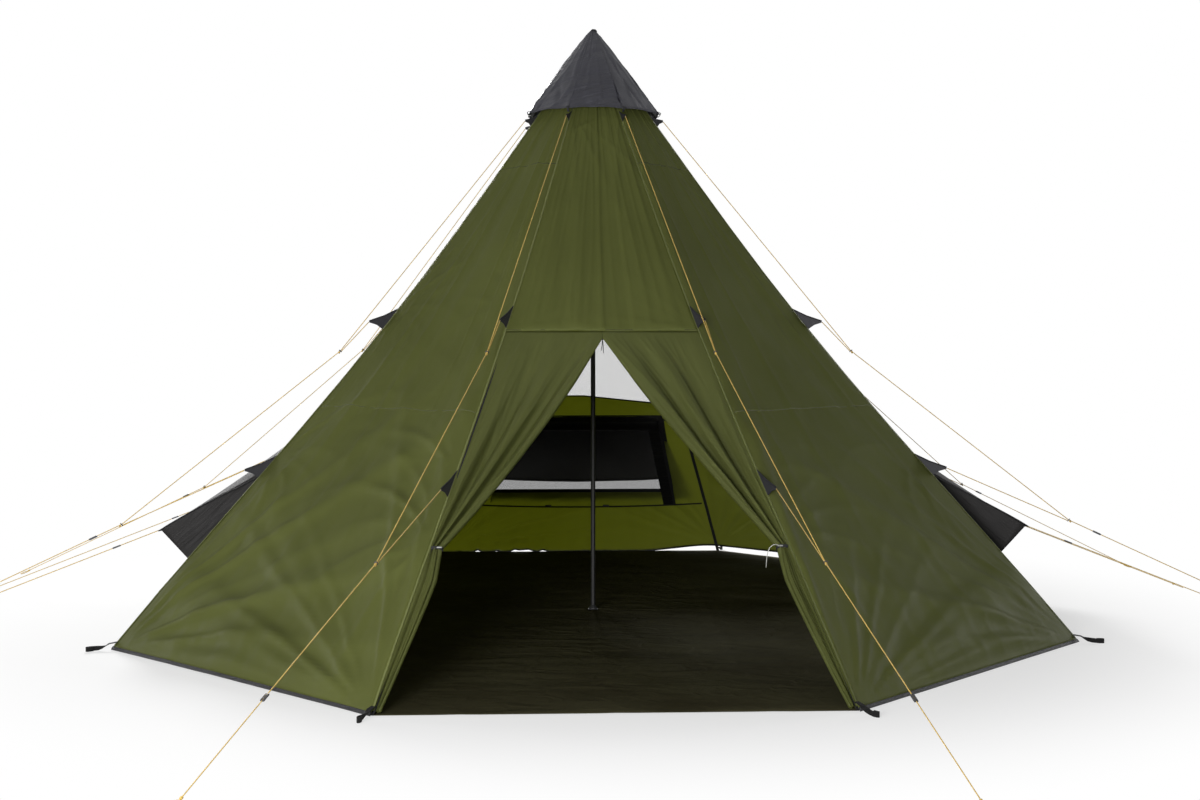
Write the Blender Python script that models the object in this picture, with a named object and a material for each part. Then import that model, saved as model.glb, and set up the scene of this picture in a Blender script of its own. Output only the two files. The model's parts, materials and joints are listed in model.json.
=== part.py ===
# A pyramid tent: eight fabric sides on one centre pole, with a tied-back door, three
# hooded mesh windows, a rear vent, a rain cap, corner webbing and guy ropes.
# Metres, +Z up. The origin is on the ground under the pole, and the door faces -Y.

import math
from collections import namedtuple

import bmesh
import bpy
from mathutils import Vector

for old in list(bpy.data.objects):
    bpy.data.objects.remove(old, do_unlink=True)

# Driving dimensions of the tent body
sides = 8
corner_radius = 2.50  # from the pole to a ground corner
peak_height = 3.07  # where the corner seams would meet
seam_hollow = 0.095  # how far the corner seams bow in at mid height
hollow_power = 1.5  # how quickly the bow fades towards the ground and the peak
fabric_depth = 0.0032  # a fabric wall, measured level
clearance = 0.0003  # between pieces that touch
bands = 12  # the level bands that stand for the curve of a wall, from ground to peak

# Heights of the seams and edges that cross the walls
hem_height = 0.020
header_height = 1.50
wall_top = 2.80
vent_ring_top = 2.955
crown_top = 3.030

# The three windows and the vent above the rear one
window_bottom = 0.46
window_top = 0.955
window_share = 0.75  # share of the wall's width at each height
rear_vent_bottom = 1.11
rear_vent_top = 1.48
rear_vent_share = 0.86
mesh_depth = 0.0016

half_turn_of_side = math.pi / sides
slant = math.tan(half_turn_of_side)
wall_slope = corner_radius * math.cos(half_turn_of_side) / peak_height  # inwards for 1 m up
smooth_below = math.radians(40.0)  # between the faces of a round piece


def material(name, colour, roughness, metallic=0.0):
    """A plain finish in the colour of the real material."""
    made = bpy.data.materials.new(name)
    made.use_nodes = True
    shader = made.node_tree.nodes["Principled BSDF"]
    shader.inputs["Base Color"].default_value = (*colour, 1.0)
    shader.inputs["Roughness"].default_value = roughness
    shader.inputs["Metallic"].default_value = metallic
    return made


olive_fabric = material("olive_fabric", (0.085, 0.100, 0.032), 0.55)
charcoal_fabric = material("charcoal_fabric", (0.040, 0.040, 0.047), 0.60)
hood_fabric = material("hood_fabric", (0.026, 0.024, 0.028), 0.60)
dark_mesh = material("dark_mesh", (0.012, 0.012, 0.011), 0.80)
pale_mesh = material("pale_mesh", (0.60, 0.62, 0.64), 0.80)
black_webbing = material("black_webbing", (0.012, 0.012, 0.013), 0.70)
hem_tape = material("hem_tape", (0.022, 0.022, 0.023), 0.65)
ground_fabric = material("ground_fabric", (0.018, 0.016, 0.012), 0.50)
tan_rope = material("tan_rope", (0.58, 0.36, 0.13), 0.75)
black_steel = material("black_steel", (0.010, 0.010, 0.010), 0.35, 0.8)
black_plastic = material("black_plastic", (0.012, 0.012, 0.012), 0.45)


# Places on the tent


stations = [peak_height * k / bands for k in range(bands + 1)]


def curved_radius(z):
    """How far the curve of a corner seam is from the pole at a height."""
    share = z / peak_height
    bow = seam_hollow * max(math.sin(math.pi * share), 0.0) ** hollow_power
    return corner_radius * (1.0 - share) - bow


def seam_radius(z):
    """How far a corner seam is from the pole at a height, straight between two stations."""
    band = min(int(z / peak_height * bands), bands - 1)
    low, high = stations[band], stations[band + 1]
    share = (z - low) / (high - low)
    return curved_radius(low) * (1.0 - share) + curved_radius(high) * share


def outward(degrees):
    """The level direction away from the pole, at an angle from the door's middle."""
    turn = math.radians(degrees)
    return Vector((math.sin(turn), -math.cos(turn), 0.0))


def across(degrees):
    """The level direction along a wall, to the right of someone who faces it."""
    turn = math.radians(degrees)
    return Vector((math.cos(turn), math.sin(turn), 0.0))


def half_width(z):
    """Half the width of a wall at a height, from seam to seam."""
    return seam_radius(z) * math.sin(half_turn_of_side)


def wall_reach(z):
    """How far the middle of a wall is from the pole at a height."""
    return seam_radius(z) * math.cos(half_turn_of_side)


def on_wall(side, sideways, z, depth=0.0):
    """A point on a wall's outer face, or depth behind it."""
    out = wall_reach(z) - depth
    return outward(side) * out + across(side) * sideways + Vector((0.0, 0.0, z))


def in_plane(degrees, out, z, sideways=0.0):
    """A point in the upright plane through the pole at an angle."""
    return outward(degrees) * out + across(degrees) * sideways + Vector((0.0, 0.0, z))


def rows(*stops):
    """Heights from the first stop to the last, through the others and the stations."""
    between = [z for z in stations if stops[0] < z < stops[-1]]
    return sorted({*stops, *between})


# Solids


def finish(name, bm, finish_material, origin=None):
    """Makes one named object of a closed mesh, with its origin at the given place."""
    origin = origin or Vector()
    bmesh.ops.recalc_face_normals(bm, faces=bm.faces)
    bmesh.ops.translate(bm, verts=bm.verts, vec=-origin)
    mesh = bpy.data.meshes.new(name)
    bm.to_mesh(mesh)
    bm.free()
    mesh.materials.append(finish_material)
    made = bpy.data.objects.new(name, mesh)
    made.location = origin
    bpy.context.collection.objects.link(made)
    return made


def loft(name, rings, finish_material, closed=False, origin=None):
    """A solid through rings of points, capped at both ends or joined end to end."""
    bm = bmesh.new()
    made = [[bm.verts.new(point) for point in ring] for ring in rings]
    following = made[1:] + made[:1] if closed else made[1:]
    count = len(rings[0])
    for low, high in zip(made, following):
        for k in range(count):
            after = (k + 1) % count
            bm.faces.new((low[k], low[after], high[after], high[k]))
    if not closed:
        bm.faces.new(made[0])
        bm.faces.new(made[-1])
    return finish(name, bm, finish_material, origin)


def around_pole(name, profile, count, finish_material, closed=False):
    """A solid of rings round the pole, each a (radius, height), with corners on the seams."""
    rings = []
    for radius, height in profile:
        corners = [(k + 0.5) * 360.0 / count for k in range(count)]
        rings.append([in_plane(corner, radius, height) for corner in corners])
    made = loft(name, rings, finish_material, closed)
    if count > sides:
        made.data.shade_smooth()
        made.data.set_sharp_from_angle(angle=smooth_below)
    return made


def panel(
    name, side, heights, edges, holes, depth, finish_material,
    inset=0.0, origin=None, square_top=False,
):
    """A slab on a wall. edges are (place at a height, -1 or 1 on a corner seam, else 0),
    from left to right, and holes are the (row, column) cells that are left open. Its top is
    level, or square to the wall's slope."""
    bm = bmesh.new()
    cells = {
        (row, column)
        for row in range(len(heights) - 1)
        for column in range(len(edges) - 1)
        if (row, column) not in holes
    }
    made = {}

    def corner(face, row, column):
        key = (face, row, column)
        if key not in made:
            place, seam = edges[column]
            z = heights[row]
            back = inset + (depth if face == "inner" else 0.0)
            if square_top and row == len(heights) - 1:
                z -= back * wall_slope
            made[key] = bm.verts.new(on_wall(side, place(z) - seam * back * slant, z, back))
        return made[key]

    for row, column in sorted(cells):
        loop = [(row, column), (row, column + 1), (row + 1, column + 1), (row + 1, column)]
        for face in ("outer", "inner"):
            bm.faces.new([corner(face, *place) for place in loop])
        neighbours = [(row - 1, column), (row, column + 1), (row + 1, column), (row, column - 1)]
        for k, neighbour in enumerate(neighbours):
            if neighbour in cells:
                continue
            first, second = loop[k], loop[(k + 1) % 4]
            bm.faces.new(
                (
                    corner("outer", *first),
                    corner("outer", *second),
                    corner("inner", *second),
                    corner("inner", *first),
                )
            )
    return finish(name, bm, finish_material, origin)


weld_share = 0.01  # of a cord's radius, for the caps that close its ends


def tube(points, radius, twist=0.0):
    """A round cord through points, as a closed mesh."""
    curve = bpy.data.curves.new("cord", "CURVE")
    curve.dimensions = "3D"
    curve.bevel_depth = radius
    curve.bevel_resolution = 2
    curve.use_fill_caps = True
    spline = curve.splines.new("POLY")
    spline.points.add(len(points) - 1)
    for made, point in zip(spline.points, points):
        made.co = (*point, 1.0)
        made.tilt = twist
    guide = bpy.data.objects.new("cord", curve)
    mesh = bpy.data.meshes.new_from_object(guide)
    bpy.data.objects.remove(guide, do_unlink=True)
    bm = bmesh.new()
    bm.from_mesh(mesh)
    bmesh.ops.remove_doubles(bm, verts=bm.verts, dist=radius * weld_share)
    bmesh.ops.recalc_face_normals(bm, faces=bm.faces)
    bm.to_mesh(mesh)
    bm.free()
    return mesh


def mesh_object(name, mesh, finish_material):
    """Links a ready mesh as a named object."""
    mesh.materials.clear()
    mesh.materials.append(finish_material)
    made = bpy.data.objects.new(name, mesh)
    bpy.context.collection.objects.link(made)
    return made


def join_on(base, piece):
    """Joins a piece to its base as one closed body. The piece itself is only a guide."""
    piece.hide_render = True
    piece.display_type = "WIRE"
    union = base.modifiers.new("join " + piece.name, "BOOLEAN")
    union.operation = "UNION"
    union.solver = "EXACT"
    union.object = piece


# Corner webbing: a tape down the inside of each corner seam. Its fin fills the seam between
# two walls and stands out as the guy tabs, and its foot is the peg strap.

fin_thickness = 0.002
fin_lip = 0.001  # the seam's ridge outside the walls
tape_half_width = 0.010
tape_thickness = 0.002
tab_blunt = 0.008  # the upright edge at a tab's tip, where the rope is tied
strap_height = 0.034
strap_length = 0.105
strap_half_width = 0.011
strap_thickness = 0.0022

lower_tab_height = 0.822
upper_tab_height = 1.550
guy_tab_below = 0.038  # from a guy tab's tip down to its foot on the seam
guy_tab_above = 0.066
guy_tab_reach = 0.100  # how far it stands out from the seam
top_tab_height = 2.612
top_tab_below = 0.027
top_tab_above = 0.028
top_tab_reach = 0.050

Tab = namedtuple("Tab", "tip below above reach")
lower_tab = Tab(lower_tab_height, guy_tab_below, guy_tab_above, guy_tab_reach)
upper_tab = Tab(upper_tab_height, guy_tab_below, guy_tab_above, guy_tab_reach)
top_tab = Tab(top_tab_height, top_tab_below, top_tab_above, top_tab_reach)
tabs = (lower_tab, upper_tab, top_tab)

seam_gap = fin_thickness / 2.0 + clearance
edge_gap = seam_gap / math.cos(half_turn_of_side)


def tab_tip(corner, tab):
    """The middle of a tab's blunt tip."""
    return in_plane(corner, seam_radius(tab.tip) + tab.reach, tab.tip)


def fin_edge(z):
    """How far the fin's outer edge is from the pole at a height."""
    for tab in tabs:
        foot, top = tab.tip - tab.below, tab.tip + tab.above
        low, high = tab.tip - tab_blunt / 2.0, tab.tip + tab_blunt / 2.0
        if foot <= z <= top:
            reach = seam_radius(tab.tip) + tab.reach
            if z < low:
                share = (z - foot) / (low - foot)
                return (seam_radius(foot) + fin_lip) * (1.0 - share) + reach * share
            if z > high:
                share = (top - z) / (top - high)
                return (seam_radius(top) + fin_lip) * (1.0 - share) + reach * share
            return reach
    return seam_radius(z) + fin_lip


def webbing_section(corner, z):
    """The T of the fin and the tape behind it, at one height."""
    half_fin = fin_thickness / 2.0
    wall_back = seam_radius(z) - fabric_depth / math.cos(half_turn_of_side)
    tape_front = wall_back - tape_half_width * slant - clearance * 2.0
    tape_back = tape_front - tape_thickness
    outline = [
        (fin_edge(z), half_fin),
        (tape_front, half_fin),
        (tape_front, tape_half_width),
        (tape_back, tape_half_width),
    ]
    outline += [(out, -sideways) for out, sideways in reversed(outline)]
    return [in_plane(corner, out, z, sideways) for out, sideways in outline]


def peg_strap(corner):
    """The strap that runs from the foot of a corner seam down to the ground outside it."""
    root = seam_radius(strap_height) + fin_lip / 2.0
    hem_edge = corner_radius + strap_thickness * 2.0
    end = corner_radius + strap_length
    lowest = strap_thickness / 2.0 + clearance
    line = [
        (root, strap_height),
        (hem_edge, strap_height - strap_thickness * 2.0),
        (hem_edge + strap_length / 2.0, lowest + strap_thickness),
        (end, lowest),
    ]
    rings = []
    for out, z in line:
        low, high = z - strap_thickness / 2.0, z + strap_thickness / 2.0
        corners = [(-1, low), (1, low), (1, high), (-1, high)]
        rings.append([in_plane(corner, out, h, way * strap_half_width) for way, h in corners])
    return loft("strap", rings, black_webbing)


def corner_webbing(name, corner):
    stops = [hem_height + clearance]
    for tab in tabs:
        stops += [tab.tip - tab.below, tab.tip - tab_blunt / 2.0]
        stops += [tab.tip + tab_blunt / 2.0, tab.tip + tab.above]
    stops.append(wall_top - clearance)
    sections = [webbing_section(corner, z) for z in rows(*stops)]
    webbing = loft(name, sections, black_webbing)
    join_on(webbing, peg_strap(corner))


corners = {
    "front_left": -22.5,
    "side_left": -67.5,
    "rear_side_left": -112.5,
    "rear_left": -157.5,
    "rear_right": 157.5,
    "rear_side_right": 112.5,
    "side_right": 67.5,
    "front_right": 22.5,
}
for place, corner in corners.items():
    corner_webbing("corner_webbing_" + place, corner)


# Walls: one fabric panel between each two corner seams


def seam_edge(z):
    """Where a wall ends beside the fin in its corner seam."""
    return half_width(z) - edge_gap


left_seam = (lambda z: -seam_edge(z), -1)
right_seam = (seam_edge, 1)


def share_edge(share):
    """An edge that keeps to a share of the wall's width."""
    return (lambda z: share * seam_edge(z), 0)


def cells_between(heights, low, high, columns):
    """The cells of some columns between two heights."""
    inside = [row for row in range(len(heights) - 1) if low <= heights[row] < high]
    return {(row, column) for row in inside for column in columns}


wall_foot = hem_height + clearance
plain_rows = rows(wall_foot, wall_top)
plain_edges = [left_seam, right_seam]
for place, side in {
    "front_left": -45,
    "rear_left": -135,
    "rear_right": 135,
    "front_right": 45,
}.items():
    panel("wall_" + place, side, plain_rows, plain_edges, set(), fabric_depth, olive_fabric)

window_edges = [left_seam, share_edge(-window_share), share_edge(window_share), right_seam]
window_rows = rows(wall_foot, window_bottom, window_top, wall_top)
window_hole = cells_between(window_rows, window_bottom, window_top, [1])
for place, side in {"left": -90, "right": 90}.items():
    panel("wall_" + place, side, window_rows, window_edges, window_hole, fabric_depth, olive_fabric)

rear_edges = [
    left_seam,
    share_edge(-rear_vent_share),
    share_edge(-window_share),
    share_edge(window_share),
    share_edge(rear_vent_share),
    right_seam,
]
rear_rows = rows(
    wall_foot, window_bottom, window_top, rear_vent_bottom, rear_vent_top, wall_top
)
rear_holes = cells_between(rear_rows, window_bottom, window_top, [2])
rear_holes |= cells_between(rear_rows, rear_vent_bottom, rear_vent_top, [1, 2, 3])
panel("wall_rear", 180, rear_rows, rear_edges, rear_holes, fabric_depth, olive_fabric)

header_rows = rows(header_height, wall_top)
panel("header_panel", 0, header_rows, plain_edges, set(), fabric_depth, olive_fabric)


# Insect mesh: a panel sewn into each window, one in the rear vent


def mesh_panel(name, side, low, high, share, finish_material):
    left = (lambda z: -share * seam_edge(z) + clearance, 0)
    right = (lambda z: share * seam_edge(z) - clearance, 0)
    heights = rows(low + clearance, high - clearance)
    inset = (fabric_depth - mesh_depth) / 2.0
    panel(name, side, heights, [left, right], set(), mesh_depth, finish_material, inset)


for place, side in {"left": -90, "right": 90, "rear": 180}.items():
    mesh_panel("window_mesh_" + place, side, window_bottom, window_top, window_share, dark_mesh)
mesh_panel("rear_vent_mesh", 180, rear_vent_bottom, rear_vent_top, rear_vent_share, pale_mesh)


# Hem: a tape round the foot of the seven walls, open at the door

hem_stand_out = 0.001
hem_depth = fabric_depth + 2.0 * hem_stand_out


def hem_band():
    rings = []
    for corner in sorted(degrees % 360.0 for degrees in corners.values()):
        outer_low = seam_radius(0.0) + hem_stand_out
        outer_high = seam_radius(hem_height) + hem_stand_out
        rings.append(
            [
                in_plane(corner, outer_low, 0.0),
                in_plane(corner, outer_high, hem_height),
                in_plane(corner, outer_high - hem_depth, hem_height),
                in_plane(corner, outer_low - hem_depth, 0.0),
            ]
        )
    loft("hem_band", rings, hem_tape)


hem_band()

# Groundsheet: a flat sheet inside the hem

groundsheet_thickness = 0.003
groundsheet_edge_gap = 0.008
groundsheet_radius = corner_radius - hem_depth - groundsheet_edge_gap
around_pole(
    "groundsheet",
    [(groundsheet_radius, 0.0), (groundsheet_radius, groundsheet_thickness)],
    sides,
    ground_fabric,
)

# Pole: three steel tubes, each with a narrowed foot that plugs into the one below, on a
# plastic foot and under a plug with a pin

pole_radius = 0.0125
pole_wall = 0.0015
pole_sides = 16
spigot_length = 0.07
foot_height = 0.030
foot_radius = 0.024
foot_plug_length = 0.05
tip_shoulder = 0.030  # the top plug's wide part, from the tube to the crown
pole_top = crown_top - fabric_depth - tip_shoulder
pin_radius = 0.004
pin_hole_radius = 0.005
pole_foot_base = groundsheet_thickness + clearance
pole_base = pole_foot_base + foot_height + clearance
section_length = (pole_top - pole_base) / 3.0
bore_radius = pole_radius - pole_wall
plug_radius = bore_radius - clearance

for number, place in enumerate(("lower", "middle", "upper")):
    low = pole_base + section_length * number + (clearance if number else 0.0)
    high = pole_base + section_length * (number + 1)
    if number == 0:
        profile = [(pole_radius, low), (pole_radius, high), (bore_radius, high), (bore_radius, low)]
    else:
        foot = low - spigot_length
        profile = [
            (plug_radius, foot),
            (plug_radius, low),
            (pole_radius, low),
            (pole_radius, high),
            (bore_radius, high),
            (bore_radius, low + spigot_length),
            (plug_radius - pole_wall, low),
            (plug_radius - pole_wall, foot),
        ]
    around_pole("pole_" + place, profile, pole_sides, black_steel, closed=True)

around_pole(
    "pole_foot",
    [
        (foot_radius, pole_foot_base),
        (foot_radius, pole_foot_base + foot_height / 2.0),
        (pole_radius, pole_foot_base + foot_height),
        (plug_radius, pole_foot_base + foot_height),
        (plug_radius, pole_base + foot_plug_length),
    ],
    pole_sides,
    black_plastic,
)

# Cap: a charcoal cone over the peak, held by the pin and tied at its corners

cap_hem_height = 2.6575
cap_overhang = 0.057  # of its hem, out from the corner seams
cap_tip_height = 3.125
cap_tip_radius = 0.009
cap_tip_solid = 0.040
cap_inner_tip_radius = 0.016

cap_hem_radius = seam_radius(cap_hem_height) + cap_overhang
cap_inner_top = cap_tip_height - cap_tip_solid
around_pole(
    "cap",
    [
        (cap_inner_tip_radius, cap_inner_top),
        (cap_hem_radius - fabric_depth, cap_hem_height),
        (cap_hem_radius, cap_hem_height),
        (cap_tip_radius, cap_tip_height),
    ],
    sides,
    charcoal_fabric,
)

plug_shoulder = crown_top - fabric_depth - clearance
around_pole(
    "pole_tip",
    [
        (plug_radius, pole_top - foot_plug_length),
        (plug_radius, pole_top + clearance),
        (pole_radius, pole_top + clearance),
        (pole_radius, plug_shoulder),
        (pin_radius, plug_shoulder),
        (pin_radius, cap_inner_top - clearance),
    ],
    pole_sides,
    black_plastic,
)

# Peak: a ring of mesh that lets air out under the cap, and the crown patch on the pole

ring_foot = wall_top + clearance
around_pole(
    "peak_vent_mesh",
    [
        (seam_radius(ring_foot), ring_foot),
        (seam_radius(vent_ring_top), vent_ring_top),
        (seam_radius(vent_ring_top) - fabric_depth, vent_ring_top),
        (seam_radius(ring_foot) - fabric_depth, ring_foot),
    ],
    sides,
    dark_mesh,
    closed=True,
)
crown_foot = vent_ring_top + clearance
crown_under = crown_top - fabric_depth
around_pole(
    "peak_crown",
    [
        (seam_radius(crown_foot), crown_foot),
        (seam_radius(crown_top), crown_top),
        (pin_hole_radius, crown_top),
        (pin_hole_radius, crown_under),
        (seam_radius(crown_top) - fabric_depth, crown_under),
        (seam_radius(crown_foot) - fabric_depth, crown_foot),
    ],
    sides,
    black_webbing,
    closed=True,
)

# Door: two flaps, sewn to the front corner seams and drawn aside. Each turns about the
# outer edge of its seam. The hinge's straight line touches it at its first station and at
# the door's top, and elsewhere the seam is hollow behind that line.

door_top = header_height - clearance
door_foot = strap_height + strap_thickness
zip_gap = 0.012  # from the middle of the door to a flap's edge, at the top
tie_height = 0.5875
gather_width = 0.0532  # of the flap at the tie
edge_droop = 0.050  # how far the free edge hangs in from a straight line
strip_width = 0.078  # the gathered strip under the tie
strip_foot_width = 0.032
gather_share = 0.8  # of the tie's height, where the strip starts to narrow to the tie
tie_half_height = 0.012
tie_thickness = 0.002
tie_reach = half_width(tie_height) - gather_width


def free_edge(z):
    """How far a flap's free edge is from the door's middle at a height."""
    if z >= tie_height:
        share = (door_top - z) / (door_top - tie_height)
        straight = zip_gap + (tie_reach - zip_gap) * share
        return straight - edge_droop * 4.0 * share * (1.0 - share)
    share = z / tie_height
    widest = strip_foot_width + (strip_width - strip_foot_width) * math.sin(math.pi * share / 2.0)
    near_tie = max(0.0, (share - gather_share) / (1.0 - gather_share))
    return half_width(z) - (widest * (1.0 - near_tie) + gather_width * near_tie)


def door_flap(name, way):
    """way is -1 for the left flap and 1 for the right one."""
    ends_of_tie = (tie_height - tie_half_height, tie_height + tie_half_height)
    heights = rows(door_foot, tie_height * gather_share, *ends_of_tie, door_top)
    free = (lambda z: way * free_edge(z), 0)
    seam = left_seam if way < 0 else right_seam
    edges = [seam, free] if way < 0 else [free, seam]
    hinge = on_wall(0, way * seam_edge(stations[1]), stations[1])
    panel(
        name, 0, heights, edges, set(), fabric_depth, olive_fabric, origin=hinge, square_top=True
    )
    return hinge


def door_tie(name, way, hinge):
    """A tape round the gathered flap, open towards the seam."""
    rings = []
    for z in (tie_height - tie_half_height, tie_height + tie_half_height):
        inner_edge = free_edge(z) - clearance
        outer_edge = inner_edge - tie_thickness
        end = seam_edge(z) - tape_half_width * 2.0
        front, back = -clearance, fabric_depth + clearance
        outline = [
            (end, front - tie_thickness),
            (outer_edge, front - tie_thickness),
            (outer_edge, back + tie_thickness),
            (end, back + tie_thickness),
            (end, back),
            (inner_edge, back),
            (inner_edge, front),
            (end, front),
        ]
        rings.append([on_wall(0, way * sideways, z, depth) for sideways, depth in outline])
    loft(name, rings, black_webbing, origin=hinge)


for place, way in {"left": -1, "right": 1}.items():
    hinge = door_flap("door_flap_" + place, way)
    door_tie("door_tie_" + place, way, hinge)

# Zip pull: hangs from the top of the door

pull_length = 0.045
pull_half_width = 0.0045
pull_thickness = 0.002
pull_neck = 0.0004


def zip_pull():
    top = on_wall(0, 0.0, door_top - clearance, fabric_depth / 2.0)
    rings = []
    for drop, thickness in (
        (0.0, pull_neck),
        (pull_thickness, pull_thickness),
        (pull_length, pull_thickness),
    ):
        half = thickness / 2.0
        ring = []
        for sideways, forward in ((-1, -1), (1, -1), (1, 1), (-1, 1)):
            step = Vector((sideways * pull_half_width, forward * half, -drop))
            ring.append(top + step)
        rings.append(ring)
    loft("zip_pull", rings, black_plastic, origin=top)


zip_pull()

# Hoods: a stiffened flap hinged above each window, with a gusset at each side that holds
# it off the wall. Each turns about the lower edge of its root.

hood_hinge_height = 0.975
hood_length = 0.79
hood_thickness = 0.003
hood_root_half_width = 0.50
hood_tip_half_width = 0.635
hood_drop = math.radians(35.0)  # below level
hood_gap = 0.0005  # from the wall, measured level
gusset_thickness = 0.002
gusset_start = 0.025  # along the hood from its hinge
gusset_end_gap = 0.012  # from the hood's tip
gusset_foot_height = 0.365
gusset_foot_sideways = 0.60


def hood_point(side, along, above, sideways):
    """A point of a hood: along it from the hinge, above its underside, and sideways."""
    out = wall_reach(hood_hinge_height) + hood_gap
    out += along * math.cos(hood_drop) + above * math.sin(hood_drop)
    z = hood_hinge_height - along * math.sin(hood_drop) + above * math.cos(hood_drop)
    return in_plane(side, out, z, sideways)


def hood_edge(along):
    """Half the hood's width, at a distance along it."""
    return hood_root_half_width + (hood_tip_half_width - hood_root_half_width) * along / hood_length


def hood(name, side):
    rings = []
    for along in (0.0, hood_length):
        half = hood_edge(along)
        outline = [(-half, 0.0), (half, 0.0), (half, hood_thickness), (-half, hood_thickness)]
        rings.append([hood_point(side, along, above, sideways) for sideways, above in outline])
    loft(name, rings, hood_fabric, origin=hood_point(side, 0.0, 0.0, 0.0))


def hood_gusset(name, side, way):
    """The cloth triangle between a hood's side edge and the wall."""
    under = -clearance - hood_gap / 2.0
    tip_along = hood_length - gusset_end_gap
    wall_gap = outward(side) * (hood_gap + clearance)
    triangle = [
        hood_point(side, gusset_start, under, way * (hood_edge(gusset_start) - gusset_thickness)),
        hood_point(side, tip_along, under, way * (hood_edge(tip_along) - gusset_thickness)),
        on_wall(side, way * gusset_foot_sideways, gusset_foot_height) + wall_gap,
    ]
    shift = across(side) * (gusset_thickness / 2.0)
    rings = [[point - shift for point in triangle], [point + shift for point in triangle]]
    loft(name, rings, hood_fabric)


window_sides = {"left": -90, "right": 90, "rear": 180}
for place, side in window_sides.items():
    hood("hood_" + place, side)
    for hand, way in {"a": -1, "b": 1}.items():
        hood_gusset("hood_gusset_" + place + "_" + hand, side, way)

# Guy ropes: one from the top of each corner seam, with a branch to each tab below it, down
# to a loop on the ground. Each has a sliding tensioner.

rope_radius = 0.002
knot_radius = 0.009
branch_offset = 0.0048  # from the middle of a knot to the end of the branch that it holds
loop_knot_radius = 0.006
rope_loop_radius = 0.024
upper_knot = (1.3925, 1.4025)  # out from the pole, height
lower_knot = (2.45, 0.5875)
rope_ground_reach = 3.79
tensioner_length = 0.040
tensioner_half_width = 0.0085
tensioner_half_height = 0.0055
tensioner_bore = 0.0026
front_tensioner_share = 0.62  # of the stretch from the lower knot to the ground
side_tensioner_share = 0.10
cord_sides = 8
loop_sections = 12
knot_swing_shares = (0.20, 0.50)  # of the peg's swing, at the upper and the lower knot
front_right_swing = -6.0  # degrees, the peg's swing off the corner's own plane
branch_twist = math.radians(11.0)  # so that a branch's facets don't line up with the rope's


def knot(place, radius):
    bm = bmesh.new()
    bmesh.ops.create_icosphere(bm, subdivisions=2, radius=radius)
    bmesh.ops.translate(bm, verts=bm.verts, vec=place)
    return finish("knot", bm, tan_rope)


def end_loop(place, direction, sideways):
    """The loop in the rope's end, which lies in the rope's line and level across it."""
    middle = place + direction * rope_loop_radius
    rings = []
    for k in range(loop_sections):
        turn = 2.0 * math.pi * k / loop_sections
        ray = direction * math.cos(turn) + sideways * math.sin(turn)
        up = direction.cross(sideways)
        ring = []
        for j in range(cord_sides):
            swing = 2.0 * math.pi * j / cord_sides
            offset = ray * math.cos(swing) + up * math.sin(swing)
            ring.append(middle + ray * rope_loop_radius + offset * rope_radius)
        rings.append(ring)
    return loft("loop", rings, tan_rope, closed=True)


def clear_start(tip, towards, face):
    """Where a rope starts so that its round end stays clear of a flat tip that faces face."""
    direction = (towards - tip).normalized()
    lean = direction.dot(face)
    return tip + direction * ((clearance + rope_radius * math.sqrt(1.0 - lean * lean)) / lean)


def rope_end(knot_place, ground):
    """Where the rope's own loop starts, so that the loop's far side lies on the ground."""
    direction = (ground - knot_place).normalized()
    lift = (2.0 * rope_loop_radius + rope_radius) * -direction.z + rope_radius
    return ground - direction * (lift / -direction.z)


def guy_rope(name, corner, swing, tensioner_share):
    """swing is how far the peg stands off the corner's own plane, in degrees."""
    face = outward(corner)
    peg = corner + swing
    knots = [
        in_plane(corner + swing * share, out, z)
        for share, (out, z) in zip(knot_swing_shares, (upper_knot, lower_knot))
    ]
    ground = in_plane(peg, rope_ground_reach, 0.0)
    end = rope_end(knots[1], ground)
    top = clear_start(tab_tip(corner, top_tab), knots[0], face)
    rope = mesh_object(name, tube([top, knots[0], knots[1], end], rope_radius), tan_rope)
    for tab, place, above in ((upper_tab, knots[0], top), (lower_tab, knots[1], knots[0])):
        start = clear_start(tab_tip(corner, tab), place, face)
        line = (above - place).normalized()
        aside = (start - place) - line * (start - place).dot(line)
        inside = place + aside.normalized() * branch_offset
        branch = mesh_object("branch", tube([start, inside], rope_radius, branch_twist), tan_rope)
        join_on(rope, knot(place, knot_radius))
        join_on(rope, branch)
    direction = (ground - knots[1]).normalized()
    sideways = direction.cross(Vector((0.0, 0.0, 1.0))).normalized()
    join_on(rope, knot(end, loop_knot_radius))
    join_on(rope, end_loop(end, direction, sideways))
    middle = knots[1].lerp(end, tensioner_share)
    tensioner("tensioner_" + name.removeprefix("guy_rope_"), middle, direction, sideways)


def tensioner(name, middle, direction, sideways):
    """A plastic slider on the rope, with the rope through its bore."""
    up = sideways.cross(direction)
    half = direction * (tensioner_length / 2.0)
    rings = []
    for k in range(cord_sides):
        turn = 2.0 * math.pi * (k + 0.5) / cord_sides
        ray = sideways * math.cos(turn) + up * math.sin(turn)
        outer = sideways * math.cos(turn) * tensioner_half_width
        outer += up * math.sin(turn) * tensioner_half_height
        bore = ray * tensioner_bore
        rings.append(
            [
                middle - half + outer,
                middle + half + outer,
                middle + half + bore,
                middle - half + bore,
            ]
        )
    loft(name, rings, black_plastic, closed=True, origin=middle)


guy_rope("guy_rope_front_left", corners["front_left"], 0.0, front_tensioner_share)
guy_rope(
    "guy_rope_front_right", corners["front_right"], front_right_swing, front_tensioner_share
)
for place in ("side_left", "rear_side_left", "side_right", "rear_side_right"):
    guy_rope("guy_rope_" + place, corners[place], 0.0, side_tensioner_share)

# Hood ropes: from the outer corners of the two side hoods to the ground

hood_rope_reach = 3.50


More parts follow.
